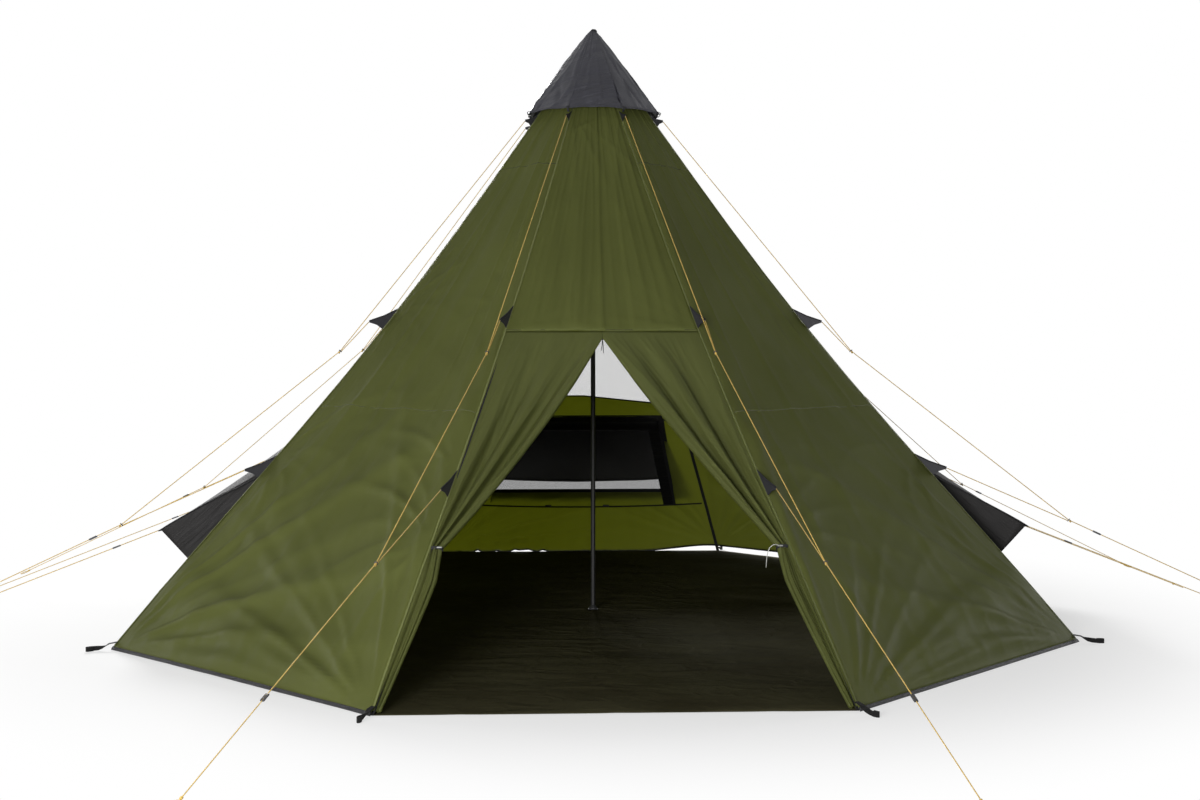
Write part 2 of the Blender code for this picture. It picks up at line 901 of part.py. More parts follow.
def hood_rope(name, side, way):
    sideways = way * (hood_tip_half_width - rope_radius * 2.0)
    tip = hood_point(side, hood_length, hood_thickness / 2.0, sideways)
    face = hood_point(side, hood_length, 0.0, 0.0) - hood_point(side, 0.0, 0.0, 0.0)
    ground = in_plane(side, hood_rope_reach, 0.0, way * hood_tip_half_width)
    start = clear_start(tip, ground, face.normalized())
    end = rope_end(start, ground)
    rope = mesh_object(name, tube([start, end], rope_radius), tan_rope)
    direction = (ground - start).normalized()
    level = direction.cross(Vector((0.0, 0.0, 1.0))).normalized()
    join_on(rope, knot(end, loop_knot_radius))
    join_on(rope, end_loop(end, direction, level))


for place in ("left", "right"):
    for hand, way in {"a": -1, "b": 1}.items():
        hood_rope("hood_rope_" + place + "_" + hand, window_sides[place], way)
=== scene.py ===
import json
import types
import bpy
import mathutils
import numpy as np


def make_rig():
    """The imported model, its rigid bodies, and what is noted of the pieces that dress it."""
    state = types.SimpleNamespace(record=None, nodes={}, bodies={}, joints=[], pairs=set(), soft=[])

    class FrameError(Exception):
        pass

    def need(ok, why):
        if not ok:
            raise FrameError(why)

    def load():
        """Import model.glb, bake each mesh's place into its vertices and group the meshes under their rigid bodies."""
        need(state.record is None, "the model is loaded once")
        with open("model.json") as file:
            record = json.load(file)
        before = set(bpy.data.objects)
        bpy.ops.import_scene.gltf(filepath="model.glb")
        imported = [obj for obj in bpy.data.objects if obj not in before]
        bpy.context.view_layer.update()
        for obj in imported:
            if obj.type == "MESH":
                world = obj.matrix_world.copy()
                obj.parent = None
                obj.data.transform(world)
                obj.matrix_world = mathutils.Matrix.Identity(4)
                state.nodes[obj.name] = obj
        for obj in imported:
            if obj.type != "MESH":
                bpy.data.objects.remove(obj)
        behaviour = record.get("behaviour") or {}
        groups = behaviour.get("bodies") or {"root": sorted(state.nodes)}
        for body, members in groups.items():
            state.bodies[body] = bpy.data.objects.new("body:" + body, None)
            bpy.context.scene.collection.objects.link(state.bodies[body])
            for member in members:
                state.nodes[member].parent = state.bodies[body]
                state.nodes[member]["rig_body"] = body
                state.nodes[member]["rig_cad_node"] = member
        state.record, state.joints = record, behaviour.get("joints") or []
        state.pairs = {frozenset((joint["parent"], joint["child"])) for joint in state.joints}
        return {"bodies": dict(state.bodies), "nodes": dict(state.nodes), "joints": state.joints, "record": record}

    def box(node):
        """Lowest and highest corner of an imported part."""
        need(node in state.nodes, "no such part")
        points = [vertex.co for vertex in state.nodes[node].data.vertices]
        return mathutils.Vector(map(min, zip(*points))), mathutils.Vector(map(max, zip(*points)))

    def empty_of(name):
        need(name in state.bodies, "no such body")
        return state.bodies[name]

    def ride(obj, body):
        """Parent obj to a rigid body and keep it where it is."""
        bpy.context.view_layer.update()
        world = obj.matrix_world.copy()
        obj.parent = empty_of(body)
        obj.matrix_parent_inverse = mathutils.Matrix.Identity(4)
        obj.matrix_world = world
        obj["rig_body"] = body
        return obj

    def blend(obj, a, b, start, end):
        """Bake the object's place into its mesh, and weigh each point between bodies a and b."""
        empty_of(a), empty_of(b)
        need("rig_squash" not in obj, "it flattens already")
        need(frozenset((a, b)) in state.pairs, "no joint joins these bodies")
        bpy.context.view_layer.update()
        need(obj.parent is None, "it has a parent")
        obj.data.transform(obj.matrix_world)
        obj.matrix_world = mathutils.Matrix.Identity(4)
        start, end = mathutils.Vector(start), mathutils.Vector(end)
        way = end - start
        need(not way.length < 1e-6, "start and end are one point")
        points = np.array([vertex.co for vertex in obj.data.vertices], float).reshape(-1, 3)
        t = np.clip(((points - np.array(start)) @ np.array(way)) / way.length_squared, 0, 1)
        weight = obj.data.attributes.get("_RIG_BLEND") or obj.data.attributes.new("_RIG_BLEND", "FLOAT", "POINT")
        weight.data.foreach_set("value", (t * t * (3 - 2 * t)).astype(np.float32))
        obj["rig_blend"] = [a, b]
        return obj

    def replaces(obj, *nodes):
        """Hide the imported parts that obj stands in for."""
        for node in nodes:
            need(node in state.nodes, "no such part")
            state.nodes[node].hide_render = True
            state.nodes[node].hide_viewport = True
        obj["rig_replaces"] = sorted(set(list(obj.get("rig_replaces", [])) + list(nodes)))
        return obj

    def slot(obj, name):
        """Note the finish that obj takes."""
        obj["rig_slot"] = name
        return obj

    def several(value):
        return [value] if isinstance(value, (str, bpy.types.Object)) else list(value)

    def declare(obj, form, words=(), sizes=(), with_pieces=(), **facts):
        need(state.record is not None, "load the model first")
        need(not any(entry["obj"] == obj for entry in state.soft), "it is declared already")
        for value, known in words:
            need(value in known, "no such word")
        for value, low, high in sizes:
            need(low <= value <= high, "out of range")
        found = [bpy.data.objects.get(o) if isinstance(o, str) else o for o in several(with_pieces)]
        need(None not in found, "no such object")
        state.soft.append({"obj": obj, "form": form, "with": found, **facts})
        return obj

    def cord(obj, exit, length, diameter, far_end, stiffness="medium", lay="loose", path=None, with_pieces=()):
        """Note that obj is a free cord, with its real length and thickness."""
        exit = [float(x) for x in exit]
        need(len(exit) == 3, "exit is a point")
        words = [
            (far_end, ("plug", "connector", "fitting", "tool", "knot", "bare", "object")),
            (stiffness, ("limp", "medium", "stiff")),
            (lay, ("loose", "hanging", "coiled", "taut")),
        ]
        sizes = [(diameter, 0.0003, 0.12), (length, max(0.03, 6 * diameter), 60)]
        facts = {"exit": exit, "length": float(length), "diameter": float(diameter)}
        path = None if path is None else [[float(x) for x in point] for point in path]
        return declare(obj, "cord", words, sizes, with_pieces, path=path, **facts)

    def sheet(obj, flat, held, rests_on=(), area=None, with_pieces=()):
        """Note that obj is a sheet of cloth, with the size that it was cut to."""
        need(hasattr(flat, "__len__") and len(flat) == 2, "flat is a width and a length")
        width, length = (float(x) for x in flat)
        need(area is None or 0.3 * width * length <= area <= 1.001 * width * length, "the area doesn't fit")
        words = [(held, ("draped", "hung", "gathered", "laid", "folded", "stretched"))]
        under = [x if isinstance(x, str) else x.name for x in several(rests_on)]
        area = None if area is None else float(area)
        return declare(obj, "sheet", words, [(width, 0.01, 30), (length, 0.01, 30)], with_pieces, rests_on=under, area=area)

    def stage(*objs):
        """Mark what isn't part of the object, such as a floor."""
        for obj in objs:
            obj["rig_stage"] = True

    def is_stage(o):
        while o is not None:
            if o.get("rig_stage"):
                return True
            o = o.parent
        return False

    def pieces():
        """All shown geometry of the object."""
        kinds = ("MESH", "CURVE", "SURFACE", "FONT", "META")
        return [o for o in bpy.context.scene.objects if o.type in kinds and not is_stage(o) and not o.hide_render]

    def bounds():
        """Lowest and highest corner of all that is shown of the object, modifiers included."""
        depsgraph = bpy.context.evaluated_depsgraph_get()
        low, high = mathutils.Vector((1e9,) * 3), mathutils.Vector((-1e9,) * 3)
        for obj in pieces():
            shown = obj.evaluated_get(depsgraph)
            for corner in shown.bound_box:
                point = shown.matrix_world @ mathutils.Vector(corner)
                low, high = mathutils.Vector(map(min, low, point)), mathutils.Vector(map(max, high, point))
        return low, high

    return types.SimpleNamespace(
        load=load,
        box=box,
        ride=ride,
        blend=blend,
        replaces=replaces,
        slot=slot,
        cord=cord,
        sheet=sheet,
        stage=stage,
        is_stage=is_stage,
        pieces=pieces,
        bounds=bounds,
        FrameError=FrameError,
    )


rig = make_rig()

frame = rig.load()
cad_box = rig.bounds()

import json
import math

import bmesh
import bpy
from mathutils import Matrix, Vector, noise

# Camera: it stands a little to the left of the door's axis, at a standing person's chest.
# It looks level at the pole, as the photograph does, with the tent's foot low in the frame.
camera_turn = math.radians(2.3)
camera_distance = 8.3675
camera_height = 1.4615
camera_data = bpy.data.cameras.new("camera")
camera_data.sensor_width = 36.0
camera_data.lens = 46.68
camera_data.shift_x = 0.0058
camera_data.shift_y = -0.0507
camera = bpy.data.objects.new("camera", camera_data)
camera.location = (
    -camera_distance * math.sin(camera_turn),
    -camera_distance * math.cos(camera_turn),
    camera_height,
)
camera.rotation_euler = (math.radians(90.0), 0.0, -camera_turn)
bpy.context.scene.collection.objects.link(camera)
bpy.context.scene.camera = camera

# Guy ropes: thin braided polyester cord in tan. Each is tied to the webbing tab at the top
# of a corner seam and takes in a branch from each tab below it, at a small black ring.
rope_radius = 0.002
ring_radius = 0.0070
ring_thickness = 0.0021
rope_step = 0.012
corner_radius = 2.50
peak_height = 3.07
seam_hollow = 0.095
hollow_power = 1.5
bands = 12
half_side = math.pi / 8.0
stations = [peak_height * k / bands for k in range(bands + 1)]
upright = Vector((0.0, 0.0, 1.0))


def curved_radius(z):
    """How far the curve of a corner seam is from the pole at a height."""
    share = z / peak_height
    bow = seam_hollow * max(math.sin(math.pi * share), 0.0) ** hollow_power
    return corner_radius * (1.0 - share) - bow


def seam_radius(z):
    """How far a corner seam is from the pole at a height."""
    band = max(0, min(int(z / peak_height * bands), bands - 1))
    low, high = stations[band], stations[band + 1]
    share = (z - low) / (high - low)
    return curved_radius(low) * (1.0 - share) + curved_radius(high) * share


def outward(degrees):
    """The level direction away from the pole, at an angle from the middle of the door."""
    turn = math.radians(degrees)
    return Vector((math.sin(turn), -math.cos(turn), 0.0))


def across(degrees):
    """The level direction along a wall, to the right of someone who faces it."""
    turn = math.radians(degrees)
    return Vector((math.cos(turn), math.sin(turn), 0.0))


def in_plane(degrees, out, z, sideways=0.0):
    """A point in the upright plane through the pole at an angle."""
    return outward(degrees) * out + across(degrees) * sideways + Vector((0.0, 0.0, z))


def link_mesh(name, mesh, finish, smooth=True):
    """Puts a finished mesh into the scene as a piece of that name."""
    mesh.materials.clear()
    mesh.materials.append(finish)
    mesh.polygons.foreach_set("use_smooth", [smooth] * len(mesh.polygons))
    piece = bpy.data.objects.new(name, mesh)
    bpy.context.scene.collection.objects.link(piece)
    return piece


def only(piece):
    """Selects one piece and makes it the active one."""
    bpy.ops.object.select_all(action="DESELECT")
    piece.select_set(True)
    bpy.context.view_layer.objects.active = piece


def from_faces(name, bm, finish, smooth=True):
    """Puts what has been built face by face into the scene."""
    mesh = bpy.data.meshes.new(name)
    bm.to_mesh(mesh)
    bm.free()
    return link_mesh(name, mesh, finish, smooth)


def apply_modifiers(piece):
    only(piece)
    for modifier in list(piece.modifiers):
        bpy.ops.object.modifier_apply(modifier=modifier.name)


def start_piece(name, add, **sizes):
    """A primitive of a size, added with nothing else selected."""
    bpy.ops.object.select_all(action="DESELECT")
    add(**sizes)
    bpy.context.object.name = name
    return bpy.context.object


def complete(piece, place, finish):
    """Applies a piece's modifiers and moves its mesh to its place. It stays selected."""
    apply_modifiers(piece)
    piece.data.transform(place)
    piece.data.materials.append(finish)
    return piece


def belongs(piece, slot, node=None, body="tent", bend=None):
    """Says which body a piece rides on. With a bend from one point to another it follows the
    tent at the first and the body at the second."""
    if bend:
        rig.blend(piece, "tent", body, start=bend[0], end=bend[1])
    else:
        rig.ride(piece, body)
    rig.slot(piece, slot)
    if node:
        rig.replaces(piece, node)
    return piece


def facing(place, ahead, side):
    """The matrix of a place whose local X lies along side and whose local Z looks ahead."""
    z = ahead.normalized()
    x = (side - z * side.dot(z)).normalized()
    y = z.cross(x)
    turned = Matrix((x, y, z)).transposed().to_4x4()
    return Matrix.Translation(place) @ turned


def join(tree, node, *values, **named):
    """Links or sets a node's inputs, by number or by name, and sets its other values."""
    for key, value in [*enumerate(values), *named.items()]:
        place = key if isinstance(key, int) else key.replace("_", " ")
        if isinstance(value, bpy.types.NodeSocket):
            tree.links.new(value, node.inputs[place])
        elif isinstance(key, int) or place in node.inputs:
            node.inputs[place].default_value = value
        else:
            setattr(node, key, value)
    return node


def add_node(tree, kind, *values, **named):
    return join(tree, tree.nodes.new(kind), *values, **named)


def maths(tree, operation, *terms):
    return add_node(tree, "ShaderNodeMath", *terms, operation=operation).outputs[0]


def ranged(tree, value, low, high, first, last, **more):
    """A socket that goes from first to last while a value goes from low to high."""
    return add_node(tree, "ShaderNodeMapRange", value, low, high, first, last, **more).outputs[0]


def patches(tree, where, scale, detail, **more):
    """Soft random patches, as an output socket from 0 to 1."""
    made = add_node(tree, "ShaderNodeTexNoise", where, Scale=scale, Detail=detail, **more)
    return made.outputs["Fac"]


def bumped(tree, strength, distance, height, **more):
    """The normal of a surface that a height raises, as an output socket."""
    made = add_node(
        tree, "ShaderNodeBump", Strength=strength, Distance=distance, Height=height, **more
    )
    return made.outputs[0]


def tint(tree, factor, first, second):
    """A mix of two colours by a factor socket, as an output socket."""
    mix = add_node(tree, "ShaderNodeMix", factor, data_type="RGBA")
    sockets = [socket for socket in mix.inputs if socket.type == "RGBA"]
    for socket, colour in zip(sockets, (first, second)):
        if isinstance(colour, tuple):
            socket.default_value = (*colour, 1.0)
        else:
            tree.links.new(colour, socket)
    return [socket for socket in mix.outputs if socket.type == "RGBA"][0]


def start_finish(name, roughness, specular=0.5, sheen=0.0):
    """A new material with its node tree, its shader and its texture coordinates."""
    made = bpy.data.materials.new(name)
    made.use_nodes = True
    tree = made.node_tree
    shader = join(
        tree, tree.nodes["Principled BSDF"], Roughness=roughness, Specular_IOR_Level=specular,
        Sheen_Weight=sheen, Sheen_Roughness=0.45,
    )
    return made, tree, shader, add_node(tree, "ShaderNodeTexCoord").outputs


strand_scale = 3.0
strand_bump = 0.0006


def braid_finish(name, light, dark, lay):
    """A braided cord: strands that cross over each other, from its own UV map, with painted shade in the grooves
    between them.
    """
    made, tree, shader, coordinates = start_finish(name, 0.75, specular=0.25, sheen=0.2)
    strands = []
    for way in (1.0, -1.0):
        turned = add_node(
            tree, "ShaderNodeMapping", coordinates["UV"],
            Rotation=(0.0, 0.0, way * math.radians(45.0)), Scale=(strand_scale, way / lay, 1.0),
        )
        wave = add_node(tree, "ShaderNodeTexWave", turned.outputs[0], Scale=0.5)
        strands.append(wave.outputs["Fac"])
    both = maths(tree, "MULTIPLY", *strands)
    raised = bumped(tree, 0.5, strand_bump, both)
    # The colour runs from the dark colour in the grooves to the light one on the strands' tops. It follows the same
    # height that raises the bump, so it is painted shade.
    join(tree, shader, Base_Color=tint(tree, both, dark, light), Normal=raised)
    return made


def headings(points, closed=False):
    """Which way a run of points goes at each of them."""
    before, after = (points[-1], points[0]) if closed else (points[0], points[-1])
    run = [before, *points, after]
    return [(b - a).normalized() for a, b in zip(run, run[2:])]


def run_lengths(points):
    """How long a run of points is up to each of them."""
    lengths = [0.0]
    for a, b in zip(points, points[1:]):
        lengths.append(lengths[-1] + (b - a).length)
    return lengths


def skin(name, rings, cut, finish, closed=False, smooth=True):
    """Faces between rings of points, where cut(ring, corner) is a place on the flat pattern."""
    bm = bmesh.new()
    layer = bm.loops.layers.uv.new("cut")
    made = [[bm.verts.new(point) for point in ring] for ring in rings]
    count, sides = len(made), len(made[0])
    for k in range(count if closed else count - 1):
        for j in range(sides):
            face_corners = [(k, j), (k, j + 1), (k + 1, j + 1), (k + 1, j)]
            face = bm.faces.new([made[a % count][b % sides] for a, b in face_corners])
            for loop, (a, b) in zip(face.loops, face_corners):
                loop[layer].uv = cut(a, b)
    if not closed:
        bm.faces.new(list(reversed(made[0])))
        bm.faces.new(made[-1])
    bmesh.ops.recalc_face_normals(bm, faces=bm.faces)
    return from_faces(name, bm, finish, smooth)


def round_point(centre, side, up, radius, turn):
    return centre + (side * math.cos(turn) + up * math.sin(turn)) * radius


def rope_tube(name, route, radius, finish, sides=8):
    """A round cord along a route of straight runs, with rings close together."""
    path = [route[0]]
    for first, second in zip(route, route[1:]):
        count = max(1, round((second - first).length / rope_step))
        path += [first.lerp(second, k / count) for k in range(1, count + 1)]
    side = (path[1] - path[0]).cross(upright).normalized()
    turns = [2.0 * math.pi * j / sides for j in range(sides)]
    rings = []
    for point, ahead in zip(path, headings(path)):
        side = (side - ahead * side.dot(ahead)).normalized()
        rings.append([round_point(point, side, ahead.cross(side), radius, turn) for turn in turns])
    lengths = run_lengths(path)
    return skin(name, rings, lambda a, b: (b / sides, lengths[a]), finish), path


def declare_cord(piece, path, radius=rope_radius, lay="taut", **more):
    """Says how long and thick a cord is, and where it runs."""
    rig.cord(
        piece, exit=path[0], length=run_lengths(path)[-1], diameter=radius * 2.0, far_end="knot",
        stiffness="limp", lay=lay, path=path, **more,
    )


def torus(name, place, major, minor, finish, turns):
    """A small ring at a place given by a matrix, its hole along the local Z."""
    made = start_piece(
        name, bpy.ops.mesh.primitive_torus_add, major_radius=major, minor_radius=minor,
        major_segments=turns, minor_segments=8,
    )
    complete(made, place, finish)
    bpy.ops.object.shade_smooth()
    return made


# The second colour is the painted shade between the strands of the braid.
rope_tan = braid_finish("rope_tan", (0.62, 0.43, 0.10), (0.42, 0.27, 0.055), 0.006)


def plastic_finish(name, colour, roughness):
    """Moulded plastic or powder coat: a fine grain and slightly worn, paler patches."""
    made, tree, shader, coordinates = start_finish(name, roughness)
    wear = patches(tree, coordinates["Object"], 35.0, 4.0)
    grain = patches(tree, coordinates["Object"], 900.0, 3.0)
    worn = tuple(min(1.0, c * 2.2 + 0.006) for c in colour)
    join(
        tree, shader, Base_Color=tint(tree, wear, colour, worn),
        Roughness=ranged(tree, wear, 0.0, 1.0, roughness - 0.12, roughness + 0.18),
        Normal=bumped(tree, 0.25, 0.0003, grain),
    )
    return made


black_plastic = plastic_finish("black_plastic", (0.012, 0.012, 0.013), 0.45)

corners = {
    "front_left": -22.5,
    "side_left": -67.5,
    "rear_side_left": -112.5,
    "rear_left": -157.5,
    "rear_right": 157.5,
    "rear_side_right": 112.5,
    "side_right": 67.5,
    "front_right": 22.5,
}
tab_tips = ((2.612, 0.050), (1.550, 0.100), (0.822, 0.100))  # height, reach from the seam
upper_knot = (1.3925, 1.4025)  # out from the pole, height
lower_knot = (2.45, 0.5875)
knot_swing_shares = (0.20, 0.50)
ground_reach = 3.79
loop_radius = 0.024
branch_offset = 0.0048
tie_off = 0.0024  # from a tab's blunt tip to the rope's end
splice_back = rope_radius * 8.0  # from a loop up to the turns of cord over it
wrap_below = rope_radius * 7.0  # from a ring down to the turns of cord under it
wrap_radius = rope_radius * 1.9
wrap_pitch = rope_radius * 1.6
wrap_turns = 3
wrap_steps = 12  # in each turn


def wrap(name, place, ahead):
    """A few turns of the cord round itself, beside a ring or a loop."""
    side = ahead.cross(upright).normalized()
    up = ahead.cross(side)
    points = []
    for k in range(wrap_steps * wrap_turns + 1):
        centre = place + ahead * (k * wrap_pitch / wrap_steps)
        points.append(round_point(centre, side, up, wrap_radius, 2.0 * math.pi * k / wrap_steps))
    curve = bpy.data.curves.new(name, "CURVE")
    curve.dimensions = "3D"
    curve.bevel_depth = rope_radius * 0.85
    curve.bevel_resolution = 1
    curve.use_fill_caps = True
    spline = curve.splines.new("POLY")
    spline.points.add(len(points) - 1)
    for knot, point in zip(spline.points, points):
        knot.co = (*point, 1.0)
    guide = bpy.data.objects.new(name, curve)
    mesh = bpy.data.meshes.new_from_object(guide)
    bpy.data.objects.remove(guide, do_unlink=True)
    return link_mesh(name, mesh, rope_tan)


def rope_foot(pattern, end, ahead, level):
    """The spliced loop at a rope's foot, which a peg would hold."""
    place = facing(end + ahead * loop_radius, ahead.cross(level), ahead)
    return [
        torus(pattern.format("loop"), place, loop_radius, rope_radius, rope_tan, 28),
        wrap(pattern.format("splice"), end - ahead * splice_back, ahead),
    ]


slider_width = 0.016
slider_thickness = 0.0075
slider_length = 0.040
slider_rounding = slider_thickness * 0.32
slider_hole = 0.0029
slider_hole_shares = (-0.34, 0.0, 0.34)


def block(name, size):
    """A rectangular block of a size, alone in the selection."""
    made = start_piece(name, bpy.ops.mesh.primitive_cube_add, size=1.0)
    made.scale = size
    bpy.ops.object.transform_apply(location=False, rotation=False, scale=True)
    return made


def rounded(piece, width):
    bevel = piece.modifiers.new("rounding", "BEVEL")
    bevel.width = width
    bevel.segments = 3
    return piece


def slider(name, middle, ahead, level):
    """A three-hole slider, moulded in black plastic with rounded edges."""
    body = rounded(block(name, (slider_width, slider_thickness, slider_length)), slider_rounding)
    cutters = []
    for share in slider_hole_shares:
        cutter = start_piece(
            "hole", bpy.ops.mesh.primitive_cylinder_add, vertices=20, radius=slider_hole,
            depth=slider_thickness * 2.0, location=(0.0, 0.0, share * slider_length),
            rotation=(math.radians(90.0), 0.0, 0.0),
        )
        cutters.append(cutter)
        hole = body.modifiers.new("hole", "BOOLEAN")
        hole.object = cutter
        hole.solver = "EXACT"
    complete(body, facing(middle, ahead, level), black_plastic)
    bpy.ops.object.shade_smooth_by_angle(angle=math.radians(35.0))
    for cutter in cutters:
        bpy.data.objects.remove(cutter, do_unlink=True)
    return body


def tab_tip(corner, level):
    height, reach = tab_tips[level]
    return in_plane(corner, seam_radius(height) + reach, height)


def foot_of(above, ground):
    """Where the loop starts, so that its far side lies on the ground."""
    ahead = (ground - above).normalized()
    lift = (2.0 * loop_radius + rope_radius) * -ahead.z + rope_radius
    return ground - ahead * (lift / -ahead.z), ahead


def tied(tip, knot, off=tie_off):
    """Where a rope starts, just off the tip that it is tied to."""
    return tip + (knot - tip).normalized() * off


def guy_rope(place, swing, slider_share):
    corner = corners[place]
    knots = [
        in_plane(corner + swing * share, out, z)
        for share, (out, z) in zip(knot_swing_shares, (upper_knot, lower_knot))
    ]
    end, ahead = foot_of(knots[1], in_plane(corner + swing, ground_reach, 0.0))
    level = ahead.cross(upright).normalized()
    start = tied(tab_tip(corner, 0), knots[0])
    lines = [(start - knots[0]).normalized(), (knots[0] - knots[1]).normalized()]
    rope, path = rope_tube("rope_" + place, [start, *knots, end], rope_radius, rope_tan)
    trims = rope_foot("rope_{}_" + place, end, ahead, level)
    for number, (knot, line) in enumerate(zip(knots, lines)):
        ring = facing(knot, line, upright)
        name = f"rope_ring_{place}_{number}"
        trims.append(torus(name, ring, ring_radius, ring_thickness, black_plastic, 18))
        trims.append(wrap(f"rope_wrap_{place}_{number}", knot - line * wrap_below, line))
    for trim in trims:
        belongs(trim, "tan_rope")
    runner = slider("slider_" + place, knots[1].lerp(end, slider_share), ahead, level)
    belongs(runner, "black_plastic", "tensioner_" + place, "tensioner_" + place)
    belongs(rope, "tan_rope", "guy_rope_" + place)
    declare_cord(rope, path, with_pieces=[*trims, runner])
    for number, (knot, line) in enumerate(zip(knots, lines)):
        start = tied(tab_tip(corner, number + 1), knot)
        aside = (start - knot) - line * (start - knot).dot(line)
        inside = knot + aside.normalized() * branch_offset
        name = f"rope_branch_{place}_{number}"
        branch, path = rope_tube(name, [start, inside], rope_radius, rope_tan)
        belongs(branch, "tan_rope", "guy_rope_" + place)
        declare_cord(branch, path)


front_slider_share = 0.62
side_slider_share = 0.10
guy_rope("front_left", 0.0, front_slider_share)
guy_rope("front_right", -6.0, front_slider_share)
for place in ("side_left", "rear_side_left", "side_right", "rear_side_right"):
    guy_rope(place, 0.0, side_slider_share)

# Hood ropes: the same cord, from the outer corners of the two side hoods to the ground.
# Each has its own small slider near the hood, sewn through like those on the guy ropes.
hood_hinge_height = 0.975
hood_length = 0.79
hood_thickness = 0.003
hood_root_half = 0.50
hood_tip_half = 0.635
hood_drop = math.radians(35.0)
hood_gap = 0.0005
hood_rope_reach = 3.50
hood_rope_inset = rope_radius * 2.0  # from a hood's corner in to its rope
hood_rope_off = tie_off + rope_radius * 0.5
hood_slider_share = 0.16
window_sides = {"left": -90.0, "right": 90.0, "rear": 180.0}
hands = {"a": -1, "b": 1}


def wall_reach(z):
    """How far the middle of a wall is from the pole at a height."""
    return seam_radius(z) * math.cos(half_side)


def hood_point(side, along, above, sideways):
    """A point of a hood: along it from the hinge, above its underside, and sideways."""
    out = wall_reach(hood_hinge_height) + hood_gap
    out += along * math.cos(hood_drop) + above * math.sin(hood_drop)
    z = hood_hinge_height - along * math.sin(hood_drop) + above * math.cos(hood_drop)
    return in_plane(side, out, z, sideways)


for place in ("left", "right"):
    side = window_sides[place]
    for hand, way in hands.items():
        name = f"hood_cord_{place}_{hand}"
        sideways = way * (hood_tip_half - hood_rope_inset)
        ground = in_plane(side, hood_rope_reach, 0.0, way * hood_tip_half)
        start = tied(hood_point(side, hood_length, hood_thickness / 2.0, sideways), ground, hood_rope_off)
        end, ahead = foot_of(start, ground)
        level = ahead.cross(upright).normalized()
        rope, path = rope_tube(name, [start, end], rope_radius, rope_tan)
        foot = rope_foot(name + "_{}", end, ahead, level)
        runner = slider(name + "_slider", start.lerp(end, hood_slider_share), ahead, level)
        for trim in foot:
            belongs(trim, "tan_rope")
        belongs(runner, "tan_rope", None, "hood_" + place, (end, start))
        belongs(rope, "tan_rope", f"hood_rope_{place}_{hand}", "hood_" + place, (end, start))
        declare_cord(rope, path, with_pieces=[*foot, runner])

# Studio: a pale floor that fades into a white backdrop, an even white surround, and five
# soft lamps. None of it belongs to the tent.
floor_size = 60.0
floor_height = -0.001
fade_start, fade_end = 2.2, 3.7  # from the tent's middle
surround_level = 0.14
white = (1.0, 1.0, 1.0, 1.0)


def seen_rays(tree):
    """1 for the rays that show the backdrop: straight, off a gloss or through glass."""
    rays = add_node(tree, "ShaderNodeLightPath").outputs
    seen = maths(tree, "MAXIMUM", rays["Is Camera Ray"], rays["Is Glossy Ray"])
    return maths(tree, "MAXIMUM", seen, rays["Is Transmission Ray"])


def mixed_surface(tree, factor, first, second, end="Material Output"):
    """Shows a mix of two shaders on a surface."""
    mix = add_node(tree, "ShaderNodeMixShader", factor, first.outputs[0], second.outputs[0])
    join(tree, tree.nodes[end], Surface=mix.outputs[0])


floor = start_piece(
    "floor", bpy.ops.mesh.primitive_plane_add, size=floor_size, location=(0.0, 0.0, floor_height)
)
floor_white, tree, shader, coordinates = start_finish("floor_white", 0.9, specular=0.0)
join(tree, shader, Base_Color=(0.93, 0.93, 0.93, 1.0))
distance = add_node(tree, "ShaderNodeVectorMath", coordinates["Object"], operation="LENGTH")
fade = ranged(
    tree, distance.outputs["Value"], fade_start, fade_end, 0.55, 1.0,
    interpolation_type="SMOOTHSTEP",
)
glow = add_node(tree, "ShaderNodeEmission", Color=white, Strength=1.0)
mixed_surface(tree, maths(tree, "MULTIPLY", seen_rays(tree), fade), shader, glow)
floor.data.materials.append(floor_white)
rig.stage(floor)

world = bpy.data.worlds.new("studio")
bpy.context.scene.world = world
world.use_nodes = True
tree = world.node_tree
surround = join(tree, tree.nodes["Background"], Color=white, Strength=surround_level)
backdrop = add_node(tree, "ShaderNodeBackground", Color=white, Strength=1.0)
mixed_surface(tree, seen_rays(tree), surround, backdrop, "World Output")


def soft_lamp(name, place, target, size, power):
    data = bpy.data.lights.new(name, "AREA")
    data.shape = "DISK"
    data.size = size
    data.energy = power
    lamp = bpy.data.objects.new(name, data)
    lamp.location = place
    lamp.rotation_euler = (Vector(target) - Vector(place)).to_track_quat("-Z", "Y").to_euler()
    lamp.visible_camera = False
    bpy.context.scene.collection.objects.link(lamp)


soft_lamp("front_lamp", (-2.4, -8.7, 1.7), (0.0, -1.5, 0.6), 2.5, 580.0)
soft_lamp("left_lamp", (-8.0, 2.5, 1.3), (0.0, 0.0, 1.0), 2.0, 172.0)
soft_lamp("right_lamp", (8.0, 2.5, 1.6), (0.0, 0.0, 1.0), 2.0, 188.0)
soft_lamp("foot_lamp", (-2.8, -5.4, 0.7), (-0.9, -1.6, 0.4), 1.0, 42.0)
soft_lamp("rear_lamp", (-3.0, 8.0, 5.0), (0.0, 1.0, 1.2), 2.5, 1150.0)
bpy.context.scene.view_settings.view_transform = "Standard"

# Walls: seven panels of coated olive polyester, cut with a slight hollow so that they pull
# tight between the corner seams. Each is sewn from two or three widths of cloth.
cloth_depth = 0.0008
wall_foot = 0.010
wall_top = 2.80
window_bottom = 0.46
window_top = 0.955
window_share = 0.75
vent_bottom = 1.11
vent_top = 1.48
vent_share = 0.86
slope_stretch = 1.302  # the slope's length for each metre of height
seam_inset = 0.0013
level_seams = (1.13, 2.35)  # heights where two widths of cloth are joined
lean = math.atan(peak_height / (corner_radius * math.cos(half_side)))
cloth_sink = 0.0016  # from the wall's outer face to the cloth


